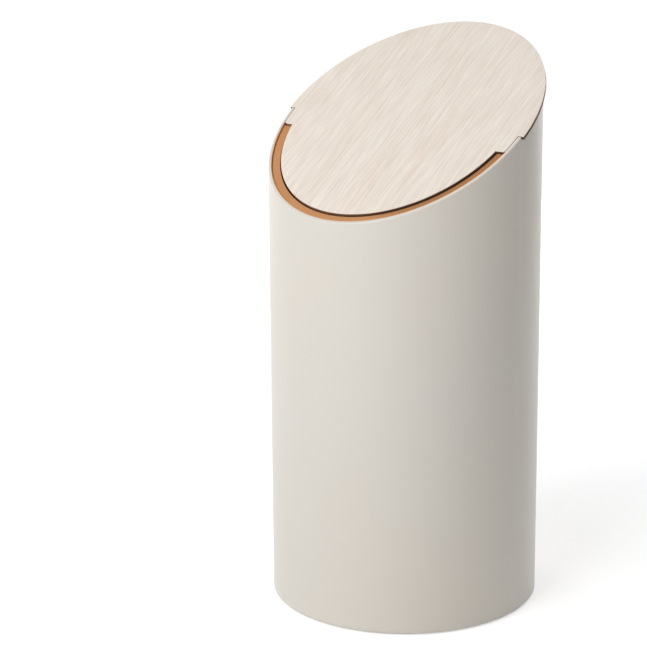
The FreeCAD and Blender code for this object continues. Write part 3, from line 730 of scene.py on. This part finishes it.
def finish(make):
    """Keep a finish, so that pieces of one finish share one material."""
    def kept(context):
        name = make.__name__
        if name not in FINISHES:
            FINISHES[name] = make(Finish(name), context.scene.bin_colours, context.scene.bin_sizes)
        return FINISHES[name]
    return kept


def board_look(made, light, dark, vector, across, along):
    """Colour and height of raw board: fibres over soft clouds, with grit."""
    tree = made.tree
    fibre = made.fibres(vector, across, along)
    cloud = made.clouds(clouds=30.0, grit=1800.0)
    hairs = faded(tree, fibre["Hairs"], share=0.55)
    share = maths(tree, "ADD", hairs, faded(tree, cloud["Clouds"], share=0.35), clamp=True)
    tint = blend_colour(tree, share, light, dark)
    speckled = blend_colour(tree, faded(tree, fibre["Pores"], share=0.5), tint, dark)
    return speckled, maths(tree, "ADD", fibre["Hairs"], cloud["Grit"])


def board_done(made, tint, height, smooth, rough):
    """Raw board of a colour, rougher and raised where its fibres and grit stand up."""
    return made.done(
        Base_Color=tint,
        Roughness=made.roughness(height, smooth, rough, low=0.4, high=1.4),
        Normal=made.bump(height, depth=0.00015, strength=0.35),
    )


def painted_share(made, sizes):
    """1 where the shell is painted: outside the lip's bare edge, and beside the tabs above the seat."""
    tree = made.tree
    flat_place = vector_maths(tree, "MULTIPLY", made.place, (1, 1, 0))
    radius = add_node(tree, "ShaderNodeVectorMath", {0: flat_place}, operation="LENGTH").outputs["Value"]
    bare, full = (BORE_RADIUS + share * sizes.bare_edge for share in (1, PAINT_FULL_SHARE))
    outside = span(tree, radius, bare, full)
    along_slope = made.sides(made.tilted(-SLANT, 0, 0))
    beside_tab = maths(tree, "GREATER_THAN", along_slope["Y"], TAB_FRONT_ALONG)
    above_seat = maths(tree, "GREATER_THAN", along_slope["Z"], SEAT_UP)
    return maths(tree, "MAXIMUM", outside, maths(tree, "MULTIPLY", beside_tab, above_seat))


@finish
def ivory_paint(made, colours, sizes):
    """Paint with soft clouds, rubbed at the foot and shinier along the lip, and bare board inside, lightened by
    painted light.
    """
    tree = made.tree
    cloud = made.clouds(clouds=7.0, grit=1400.0)
    paint = blend_colour(tree, cloud["Clouds"], colours.paint, colours.paint_warm)
    foot = made.band((0, 0, 1), FOOT_HEIGHT, sizes.foot_wear)
    wear_and_painted_light = blend_colour(tree, faded(tree, foot, share=0.5), paint, colours.paint_worn)
    upright = made.tilted(math.pi / 2, 0, 0)
    # Painted light: the bare board inside the lip is lighter than the collar's, to lift the shade on the lip's
    # inner face
    bare, bare_height = board_look(made, colours.bare_lip_painted_light, colours.collar, upright, across=700.0, along=60.0)
    painted = painted_share(made, sizes)
    lip = made.band(SLOPE_UP, MOUTH_UP, sizes.lip_shine)
    gloss = made.roughness(cloud["Clouds"], smooth=0.44, rough=0.50)
    shiny_lip = maths(tree, "SUBTRACT", gloss, faded(tree, lip, share=0.08))
    height = maths(tree, "MULTIPLY", bare_height, maths(tree, "SUBTRACT", 1.0, painted))
    height = maths(tree, "ADD", height, faded(tree, cloud["Grit"], share=0.35))
    return made.done(
        Base_Color=blend_colour(tree, painted, bare, wear_and_painted_light),
        Roughness=span(tree, painted, low=0.0, high=1.0, start=0.85, end=shiny_lip),
        Normal=made.bump(height, depth=0.0001, strength=0.25),
    )


@finish
def pale_veneer(made, colours, sizes):
    """Pale wood with fine streaks and pores along the slope, over wider bands of blush."""
    tree = made.tree
    along_slope = made.tilted(-SLANT, 0, 0)
    fibre = made.fibres(along_slope, sizes.grain_across, sizes.grain_along)
    bands = made.fibres(
        along_slope, sizes.grain_across * BLUSH_ACROSS_SHARE, sizes.grain_along * BLUSH_ALONG_SHARE,
    )
    blush = faded(tree, bands["Streaks"], share=0.6)
    face = blend_colour(tree, blush, colours.veneer, colours.veneer_blush)
    streaks = faded(tree, fibre["Streaks"], share=0.16)
    share = maths(tree, "ADD", streaks, faded(tree, fibre["Hairs"], share=0.40))
    streaked = blend_colour(tree, share, face, colours.veneer_streak)
    pores = faded(tree, fibre["Pores"], share=0.30)
    height = maths(tree, "SUBTRACT", fibre["Hairs"], fibre["Pores"])
    return made.done(
        Base_Color=blend_colour(tree, pores, streaked, colours.veneer_streak),
        Roughness=made.roughness(fibre["Hairs"], smooth=0.50, rough=0.62),
        Normal=made.bump(height, depth=0.00012, strength=0.30),
    )


@finish
def dark_core(made, colours, sizes):
    """Dark board, with painted light on its edge round the flap, strongest towards the left."""
    tree = made.tree
    along_slope = made.tilted(-SLANT, 0, 0)
    fibre = made.fibres(along_slope, across=900.0, along=120.0)
    cloud = made.clouds(clouds=90.0, grit=2200.0)
    share = faded(tree, maths(tree, "ADD", fibre["Hairs"], cloud["Clouds"]), share=0.5)
    board = blend_colour(tree, share, colours.core, colours.core_dark)
    sides = made.sides(along_slope)
    # Painted light: the flap's cut edge is lightened, a little on the right and fully on the left, to lift its
    # shade
    flap = maths(tree, "LESS_THAN", sides["Y"], TAB_FRONT_ALONG)
    to_left = span(tree, sides["X"], FLAP_RADIUS / 2, -FLAP_RADIUS, start=0.12, end=1.0)
    wear_and_painted_light = maths(tree, "MULTIPLY", flap, to_left)
    return made.done(
        Base_Color=blend_colour(tree, wear_and_painted_light, board, colours.core_painted_light),
        Roughness=made.roughness(cloud["Grit"], smooth=0.62, rough=0.80, low=NOISE_LOW, high=NOISE_HIGH),
        Normal=made.bump(cloud["Grit"], depth=0.00015, strength=0.35),
    )


@finish
def tan_collar(made, colours, sizes):
    """Raw tan board, worn lighter along the seat, with painted shade towards the right."""
    tree = made.tree
    tint, height = board_look(
        made, colours.collar, colours.collar_dark, made.place, across=800.0, along=220.0,
    )
    seat = made.band(SLOPE_UP, SEAT_UP, sizes.seat_wear)
    worn = blend_colour(tree, faded(tree, seat, share=0.25), tint, colours.collar)
    # Painted shade: the collar turns browner towards the right, standing in for shade there
    across = made.sides(made.place)["X"]
    to_right = span(tree, across, COLLAR_RADIUS / 3, COLLAR_RADIUS * 2 / 3, start=0.0, end=0.75)
    right_painted_shade = blend_colour(tree, to_right, worn, colours.collar_painted_shade)
    return board_done(made, right_painted_shade, height, smooth=0.66, rough=0.82)


@finish
def raw_board(made, colours, sizes):
    """Sanded board, as sawn."""
    tint, height = board_look(made, colours.board, colours.board_dark, made.place, across=650.0, along=90.0)
    return board_done(made, tint, height, smooth=0.70, rough=0.88)


@finish
def zinc_steel(made, colours, sizes):
    """Zinc plate with fine lines across the slope, cloudy where it is duller."""
    tree = made.tree
    drawn = made.fibres(made.tilted(0, 0, math.pi / 2), across=2600.0, along=60.0)
    cloud = made.clouds(clouds=120.0, grit=3000.0)
    dull = shaded(colours.steel, shares=0.82)
    return made.done(
        Base_Color=blend_colour(tree, cloud["Clouds"], colours.steel, dull),
        Metallic=1.0,
        Roughness=made.roughness(drawn["Hairs"], smooth=0.26, rough=0.40),
        Normal=made.bump(drawn["Hairs"], depth=0.00004, strength=0.20),
    )


@finish
def bush_nylon(made, colours, sizes):
    """Natural nylon, yellowed in patches."""
    cloud = made.clouds(clouds=200.0, grit=2600.0)
    yellowed = shaded(colours.nylon, shares=(1.0, 0.97, 0.90))
    return made.done(
        Base_Color=blend_colour(made.tree, cloud["Clouds"], colours.nylon, yellowed),
        Roughness=made.roughness(cloud["Grit"], smooth=0.40, rough=0.52, low=NOISE_LOW, high=NOISE_HIGH),
        Normal=made.bump(cloud["Grit"], depth=0.00005, strength=0.20),
        Subsurface_Weight=0.1,
    )


@finish
def dowel_beech(made, colours, sizes):
    """Turned beech, streaked and flecked along the dowel."""
    tree = made.tree
    fibre = made.fibres(made.tilted(0, 0, math.pi / 2), across=1500.0, along=90.0)
    tint = blend_colour(tree, fibre["Streaks"], colours.beech, colours.beech_dark)
    flecks = faded(tree, fibre["Pores"], share=0.7)
    return made.done(
        Base_Color=blend_colour(tree, flecks, tint, colours.beech_dark),
        Roughness=made.roughness(fibre["Hairs"], smooth=0.52, rough=0.68),
        Normal=made.bump(fibre["Hairs"], depth=0.0001, strength=0.30),
    )


@finish
def pad_felt(made, colours, sizes):
    """Pressed felt: hairs that lie askew, over fine grit."""
    tree = made.tree
    askew = made.tilted(0.4, 0.3, 0.8)
    hair = made.fibres(askew, across=3500.0, along=900.0)
    cloud = made.clouds(clouds=400.0, grit=5000.0)
    share = faded(tree, maths(tree, "ADD", hair["Hairs"], cloud["Grit"]), share=0.5)
    return made.done(
        Base_Color=blend_colour(tree, share, colours.felt, colours.felt_dark),
        Roughness=made.roughness(cloud["Grit"], smooth=0.90, rough=1.0, low=NOISE_LOW, high=NOISE_HIGH),
        Normal=made.bump(share, depth=0.0003, strength=0.60),
        Sheen_Weight=0.3,
    )


@finish
def foot_rubber(made, colours, sizes):
    """Matte rubber, scuffed grey round the rim that stands on the floor."""
    tree = made.tree
    cloud = made.clouds(clouds=150.0, grit=3200.0)
    scuffed = shaded(colours.rubber, shares=1.7)
    rim = faded(tree, made.band((0, 0, 1), 0.0, sizes.pad_scuff), share=0.6)
    share = maths(tree, "ADD", rim, faded(tree, cloud["Clouds"], share=0.2))
    return made.done(
        Base_Color=blend_colour(tree, share, colours.rubber, scuffed),
        Roughness=made.roughness(cloud["Grit"], smooth=0.68, rough=0.84, low=NOISE_LOW, high=NOISE_HIGH),
        Normal=made.bump(cloud["Grit"], depth=0.00012, strength=0.40),
    )


# Operators
class BIN_OT_shell(bpy.types.Operator):
    """Make the slanted tube with its lip, which stops beside the middle of the lid"""
    bl_idname = "waste_bin.shell"
    bl_label = "Shell"

    def execute(self, context):
        sizes = context.scene.bin_sizes
        wall = stepped_tube(
            outer=SHELL_RADIUS, inner=BORE_RADIUS, bottom=FOOT_HEIGHT,
            step_run=-LIP_END_RUN, front_rise=LIP_HEIGHT,
            foot_round=sizes.foot_round, front_round=sizes.lip_round, edge=sizes.cut_edge,
            count=sizes.columns,
        )
        add_piece("shell_tube", wall, ivory_paint(context), "outer_shell")
        return {"FINISHED"}


class BIN_OT_hoops(bpy.types.Operator):
    """Make the hoops that carry the collar and the base"""
    bl_idname = "waste_bin.hoops"
    bl_label = "Seat and base hoops"

    def execute(self, context):
        sizes = context.scene.bin_sizes
        edges = np.full(4, sizes.cut_edge)
        angle = round_angles(sizes.columns)
        bores = {"seat_hoop": COLLAR_BORE, "base_hoop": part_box("base_hoop")[1].x - BASE_HOOP_WALL}
        for node, bore in bores.items():
            low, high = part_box(node)
            wall = hoop(
                outer=high.x, inner=bore, bottom=low.z, level=high.z, slope=0.0,
                radii=edges, outer_angle=angle, inner_angle=angle,
            )
            add_piece(f"{node}_ring", wall, raw_board(context), node)
        return {"FINISHED"}


class BIN_OT_base(bpy.types.Operator):
    """Finish the panel that closes the foot"""
    bl_idname = "waste_bin.base"
    bl_label = "Base panel"

    def execute(self, context):
        panel = frame["nodes"]["base_panel"]
        panel.data.materials.clear()
        panel.data.materials.append(raw_board(context))
        return {"FINISHED"}


class BIN_OT_foot_pads(bpy.types.Operator):
    """Make the dished rubber pads under the base"""
    bl_idname = "waste_bin.foot_pads"
    bl_label = "Foot pads"

    def execute(self, context):
        sizes = context.scene.bin_sizes
        for node in numbered("foot_pad_"):
            low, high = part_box(node)
            radius, dish = (high.x - low.x) / 2, sizes.pad_groove
            corners = (
                (0, dish), (radius / 2, dish), (radius / 2 + dish, 0), (radius - 2 * dish, 0),
                (radius, 2 * dish), (radius, high.z), (0, high.z),
            )
            rounds = (0, dish / 2, dish / 2, dish, dish, dish / 4, 0)
            points, faces = turned(corners, rounds, sizes.small_columns)
            centre = ((low.x + high.x) / 2, (low.y + high.y) / 2, 0)
            add_piece(f"{node}_form", (points + centre, faces), foot_rubber(context), node)
        return {"FINISHED"}


class BIN_OT_base_screws(bpy.types.Operator):
    """Make the countersunk screws that hold the base panel to its hoop"""
    bl_idname = "waste_bin.base_screws"
    bl_label = "Base screws"

    def execute(self, context):
        sizes = context.scene.bin_sizes
        low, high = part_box("base_screws")
        ring = high.x - BASE_SCREW_HEAD
        face = np.stack((BASE_SCREW_HEAD * HEAD_SHARES, np.zeros_like(HEAD_SHARES)), axis=-1)
        neck = np.array(((BASE_SCREW_SHANK, BASE_SCREW_SINK),))
        screws = []
        for turn in round_angles(BASE_SCREW_COUNT):
            points, faces = screw(face, neck, BASE_SCREW_SHANK, high.z - low.z, BASE_SCREW_TIP, sizes, turn)
            place = (ring * math.cos(turn), ring * math.sin(turn), low.z)
            screws.append((points + place, faces))
        add_piece("base_screw_set", joined(screws), zinc_steel(context), "base_screws")
        return {"FINISHED"}


class BIN_OT_collar(bpy.types.Operator):
    """Make the raw tan collar whose top is the lid's seat, and the ledge round its low side"""
    bl_idname = "waste_bin.collar"
    bl_label = "Collar"

    def execute(self, context):
        sizes = context.scene.bin_sizes
        edge = sizes.ledge_edge
        wall = stepped_tube(
            outer=COLLAR_RADIUS, inner=COLLAR_BORE, bottom=COLLAR_BOTTOM,
            step_run=-TAB_FRONT_RUN - FRONT_LEDGE_GAP, front_rise=FRONT_LEDGE_RISE,
            foot_round=edge, front_round=edge, edge=edge,
            count=sizes.columns,
        )
        add_piece("collar_ring", wall, tan_collar(context), "lid_collar")
        return {"FINISHED"}


class BIN_OT_bushes(bpy.types.Operator):
    """Make the flanged bushes that the rod turns in"""
    bl_idname = "waste_bin.bushes"
    bl_label = "Pivot bushes"

    def execute(self, context):
        sizes = context.scene.bin_sizes
        bore = ROD_RADIUS + RUNNING_GAP
        sleeve = bore + BUSH_WALL
        flange = sleeve + BUSH_FLANGE_MARGIN
        for node, side in (("pivot_bush_left", -1), ("pivot_bush_right", 1)):
            ends = sorted(abs(corner.x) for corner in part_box(node))
            shoulder = ends[0] + FLANGE_THICKNESS
            corners = (
                (bore, ends[0]), (flange, ends[0]), (flange, shoulder),
                (sleeve, shoulder), (sleeve, ends[1]), (bore, ends[1]),
            )
            made = turned(corners, np.full(len(corners), sizes.metal_edge), sizes.small_columns)
            add_piece(f"{node}_form", along_x(made, side, PIVOT), bush_nylon(context), node)
        return {"FINISHED"}


class BIN_OT_swing_stops(bpy.types.Operator):
    """Make the dowels in the collar that end the swing"""
    bl_idname = "waste_bin.swing_stops"
    bl_label = "Swing stops"

    def execute(self, context):
        sizes = context.scene.bin_sizes
        for node, side in (("swing_stop_left", -1), ("swing_stop_right", 1)):
            low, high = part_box(node)
            tip, root = sorted((abs(low.x), abs(high.x)))
            radius = (high.y - low.y) / 2
            corners = ((0, tip), (radius, tip), (radius, root), (0, root))
            made = turned(corners, (0, STOP_ROUND, sizes.metal_edge, 0), sizes.small_columns)
            place = (0, (low.y + high.y) / 2, (low.z + high.z) / 2)
            add_piece(f"{node}_dowel", along_x(made, side, place), dowel_beech(context), node)
        return {"FINISHED"}


class BIN_OT_rest_pads(bpy.types.Operator):
    """Make the felt dots that the closed lid comes down on"""
    bl_idname = "waste_bin.rest_pads"
    bl_label = "Rest pads"

    def execute(self, context):
        sizes = context.scene.bin_sizes
        for node in numbered("rest_pad_"):
            low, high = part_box(node)
            radius = (high.x - low.x) / 2
            half = ((high.z - low.z) / 2 - radius * math.sin(SLANT)) / math.cos(SLANT)
            corners = ((0, -half), (radius, -half), (radius, half), (0, half))
            points, faces = turned(corners, (0, sizes.metal_edge, sizes.cut_edge, 0), sizes.small_columns)
            laid = slope_points(*points.T) - (0, 0, SEAT_HEIGHT)
            add_piece(f"{node}_dot", (laid + (low + high) / 2, faces), pad_felt(context), node)
        return {"FINISHED"}


class BIN_OT_lid_boards(bpy.types.Operator):
    """Make the lid's veneered face, its dark core and the backing glued under it"""
    bl_idname = "waste_bin.lid_boards"
    bl_label = "Lid boards"

    def execute(self, context):
        edge = context.scene.bin_sizes.board_edge
        outline = lid_outline()
        veneer_bottom = LIP_HEIGHT - VENEER_THICKNESS
        face = plate(outline, veneer_bottom, LIP_HEIGHT, edge)
        core = plate(outline, LID_GAP, veneer_bottom, edge / 3)
        half_oval = lid_arc(BACKING_RADIUS, LID_CENTRE, -LID_END_RUN, LID_END_RUN, 2 * LID_ARC_POINTS)
        backing = plate(both_sides(half_oval), PIVOT_RISE, LID_GAP, edge)
        add_piece("lid_face", face, pale_veneer(context), "lid_veneer")
        add_piece("lid_board", core, dark_core(context), "lid_core")
        add_piece("lid_stiffener", backing, raw_board(context), "lid_backing")
        return {"FINISHED"}


class BIN_OT_pivot_rod(bpy.types.Operator):
    """Make the steel rod that the lid swings on"""
    bl_idname = "waste_bin.pivot_rod"
    bl_label = "Pivot rod"

    def execute(self, context):
        sizes = context.scene.bin_sizes
        end = ROD_HALF_LENGTH
        corners = ((0, -end), (ROD_RADIUS, -end), (ROD_RADIUS, end), (0, end))
        bevel = 2 * sizes.metal_edge
        made = turned(corners, (0, bevel, bevel, 0), sizes.small_columns)
        add_piece("hinge_rod", along_x(made, 1, PIVOT), zinc_steel(context), "pivot_rod")
        return {"FINISHED"}


class BIN_OT_rod_clips(bpy.types.Operator):
    """Make the bent straps that hold the rod under the backing"""
    bl_idname = "waste_bin.rod_clips"
    bl_label = "Rod clips"

    def execute(self, context):
        edge = context.scene.bin_sizes.metal_edge
        path = clip_path()
        for node in numbered("rod_clip_"):
            low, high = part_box(node)
            made = strap(path, high.x - low.x, CLIP_THICKNESS, edge, (low.x + high.x) / 2)
            add_piece(f"{node}_strap", made, zinc_steel(context), node)
        return {"FINISHED"}


class BIN_OT_clip_screws(bpy.types.Operator):
    """Make the domed screws in the ears of the rod clips"""
    bl_idname = "waste_bin.clip_screws"
    bl_label = "Clip screws"

    def execute(self, context):
        sizes = context.scene.bin_sizes
        dome = -CLIP_SCREW_DOME * (1 - HEAD_SHARES ** 2 / 2)
        face = np.stack((CLIP_SCREW_HEAD * HEAD_SHARES, dome), axis=-1)
        neck = np.array(((CLIP_SCREW_HEAD, 0), (CLIP_SCREW_SHANK, 0)))
        ear_middle = ROD_RADIUS + RUNNING_GAP + CLIP_THICKNESS + CLIP_EAR / 2
        screws = []
        for node in numbered("rod_clip_"):
            low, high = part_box(node)
            for side in (-1, 1):
                # Each screw stops a radian further round than the last
                turn = len(screws)
                points, faces = screw(
                    face, neck, CLIP_SCREW_SHANK, CLIP_SCREW_LENGTH, CLIP_SCREW_TIP, sizes, turn,
                )
                place = ((low.x + high.x) / 2, PIVOT_RUN + side * ear_middle, PIVOT_RISE - CLIP_THICKNESS)
                screws.append((slope_points(*(points + place).T), faces))
        add_piece("clip_screw_set", joined(screws), zinc_steel(context), "clip_screws")
        return {"FINISHED"}


class BIN_OT_stage(bpy.types.Operator):
    """Make the pale floor, the soft light and the photograph's camera"""
    bl_idname = "waste_bin.stage"
    bl_label = "Stage"

    # Distances in metres from the bin, angles in radians, and the floor's greys as the camera sees them
    FLOOR_REACH = 30.0
    FLOOR_DIM_SHARE = 0.98
    SEEN_FLOOR = (0.62, 0.62, 0.62)
    SEEN_FLOOR_DIM = (0.61, 0.61, 0.61)
    NEAR_FLOOR = 0.2
    FAR_FLOOR = 1.2
    KEY_DISTANCE = 2.6
    KEY_RISE = math.radians(42)
    KEY_TURN = math.radians(-7.4)
    EDGE_DISTANCE = 2.0
    EDGE_RISE = math.radians(12)
    EDGE_TURN = math.radians(145)

    def floor_finish(self, colours, light):
        """Matte floor. The camera sees it glow as well, so that it is white but keeps a shadow."""
        material = bpy.data.materials.new("stage_floor")
        material.use_nodes = True
        tree = material.node_tree
        tree.nodes.clear()
        place = tree.nodes.new("ShaderNodeTexCoord").outputs["Object"]
        cloud = place_group(tree, cloud_group(), Clouds=2.0, Grit=300.0, Vector=place)
        dimmer = shaded(colours.floor, self.FLOOR_DIM_SHARE)
        shade = blend_colour(tree, cloud["Clouds"], colours.floor, dimmer)
        seen_shade = blend_colour(tree, cloud["Clouds"], self.SEEN_FLOOR, self.SEEN_FLOOR_DIM)
        away = add_node(tree, "ShaderNodeVectorMath", {0: place}, operation="LENGTH").outputs["Value"]
        strength = span(tree, away, self.NEAR_FLOOR, self.FAR_FLOOR, light.near_glow, light.far_glow)
        matte = add_node(tree, "ShaderNodeBsdfDiffuse", {"Color": shade}).outputs[0]
        shadow = add_node(tree, "ShaderNodeBsdfDiffuse", {"Color": seen_shade}).outputs[0]
        glow = add_node(tree, "ShaderNodeEmission", {"Strength": strength}).outputs[0]
        seen = add_node(tree, "ShaderNodeAddShader", {0: shadow, 1: glow}).outputs[0]
        mixed = add_node(tree, "ShaderNodeMixShader", {0: sight_share(tree), 1: matte, 2: seen}).outputs[0]
        add_node(tree, "ShaderNodeOutputMaterial", {"Surface": mixed})
        return material

    def add_floor(self, context):
        reach = self.FLOOR_REACH
        mesh = bpy.data.meshes.new("floor")
        corners = [(-reach, -reach, 0), (reach, -reach, 0), (reach, reach, 0), (-reach, reach, 0)]
        mesh.from_pydata(corners, [], [(0, 1, 2, 3)])
        mesh.materials.append(self.floor_finish(context.scene.bin_colours, context.scene.stage_light))
        floor = bpy.data.objects.new("floor", mesh)
        context.scene.collection.objects.link(floor)
        floor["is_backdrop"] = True

    def light_world(self, context):
        world = bpy.data.worlds.new("studio")
        world.use_nodes = True
        tree = world.node_tree
        tree.nodes.clear()
        sky, white = (
            add_node(tree, "ShaderNodeBackground", {"Color": (1, 1, 1, 1), "Strength": strength}).outputs[0]
            for strength in (context.scene.stage_light.sky, 1.0)
        )
        mixed = add_node(tree, "ShaderNodeMixShader", {0: sight_share(tree), 1: sky, 2: white}).outputs[0]
        add_node(tree, "ShaderNodeOutputWorld", {"Surface": mixed})
        context.scene.world = world

    def add_lamp(self, context, name, power, size, turn, rise, distance):
        """Square lamp that faces the middle of the bin, turned from the front and raised by two angles."""
        data = bpy.data.lights.new(name, "AREA")
        data.energy = power
        data.size = size
        lamp = bpy.data.objects.new(name, data)
        aim = Vector((0, 0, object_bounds()[1].z / 2))
        across = math.cos(rise) * distance
        lamp.location = aim + Vector((
            math.sin(turn) * across, -math.cos(turn) * across, math.sin(rise) * distance,
        ))
        lamp.rotation_euler = (aim - lamp.location).to_track_quat("-Z", "Y").to_euler()
        context.scene.collection.objects.link(lamp)

    def add_lamps(self, context):
        light = context.scene.stage_light
        self.add_lamp(context, "key", light.key_power, light.key_size, self.KEY_TURN, self.KEY_RISE,
                      self.KEY_DISTANCE)
        for name, power, side in (("right", light.right_power, 1), ("left", light.left_power, -1)):
            turn = CAMERA_TURN + side * self.EDGE_TURN
            self.add_lamp(context, name, power, light.edge_size, turn, self.EDGE_RISE, self.EDGE_DISTANCE)

    def add_camera(self, context):
        """Camera looking forward and down by the pitch, then turned about its own axis by the roll."""
        right = Vector((math.cos(CAMERA_TURN), math.sin(CAMERA_TURN), 0))
        forward = Vector((-math.sin(CAMERA_TURN), math.cos(CAMERA_TURN), 0))
        up = Vector((0, 0, 1))
        look = forward * math.cos(CAMERA_PITCH) - up * math.sin(CAMERA_PITCH)
        head = forward * math.sin(CAMERA_PITCH) + up * math.cos(CAMERA_PITCH)
        axis_x = right * math.cos(CAMERA_ROLL) - head * math.sin(CAMERA_ROLL)
        axis_y = right * math.sin(CAMERA_ROLL) + head * math.cos(CAMERA_ROLL)
        data = bpy.data.cameras.new("camera")
        data.lens = CAMERA_LENS_MM
        camera = bpy.data.objects.new("camera", data)
        turn = Matrix((axis_x, axis_y, -look)).transposed().to_4x4()
        place = right * CAMERA_ASIDE - forward * CAMERA_BACK + up * CAMERA_HEIGHT
        camera.matrix_world = Matrix.Translation(place) @ turn
        context.scene.collection.objects.link(camera)
        context.scene.camera = camera

    def execute(self, context):
        self.add_floor(context)
        self.light_world(context)
        self.add_lamps(context)
        self.add_camera(context)
        context.scene.view_settings.view_transform = "Standard"
        return {"FINISHED"}


class BIN_PT_panel(bpy.types.Panel):
    """The bin's pieces, in the order that they are made"""
    bl_idname = "BIN_PT_panel"
    bl_label = "Waste bin"
    bl_space_type = "VIEW_3D"
    bl_region_type = "UI"
    bl_category = "Waste bin"

    def draw(self, context):
        for operator in OPERATORS:
            self.layout.operator(operator.bl_idname)
        for group in SETTINGS:
            settings = getattr(context.scene, group)
            column = self.layout.column(heading=group.replace("_", " "))
            for name in settings.__annotations__:
                column.prop(settings, name)


SETTINGS = {"bin_sizes": BinSizes, "bin_colours": BinColours, "stage_light": StageLight}
OPERATORS = (
    BIN_OT_shell, BIN_OT_hoops, BIN_OT_base, BIN_OT_foot_pads, BIN_OT_base_screws, BIN_OT_collar,
    BIN_OT_bushes, BIN_OT_swing_stops, BIN_OT_rest_pads, BIN_OT_lid_boards, BIN_OT_pivot_rod,
    BIN_OT_rod_clips, BIN_OT_clip_screws, BIN_OT_stage,
)
CLASSES = (*SETTINGS.values(), *OPERATORS, BIN_PT_panel)


def register():
    for kind in CLASSES:
        bpy.utils.register_class(kind)
    for name, kind in SETTINGS.items():
        setattr(bpy.types.Scene, name, PointerProperty(type=kind))


def unregister():
    for name in SETTINGS:
        delattr(bpy.types.Scene, name)
    for kind in reversed(CLASSES):
        bpy.utils.unregister_class(kind)


def main():
    register()
    for operator in OPERATORS:
        group, name = operator.bl_idname.split(".")
        getattr(getattr(bpy.ops, group), name)()


if __name__ == "__main__":
    main()
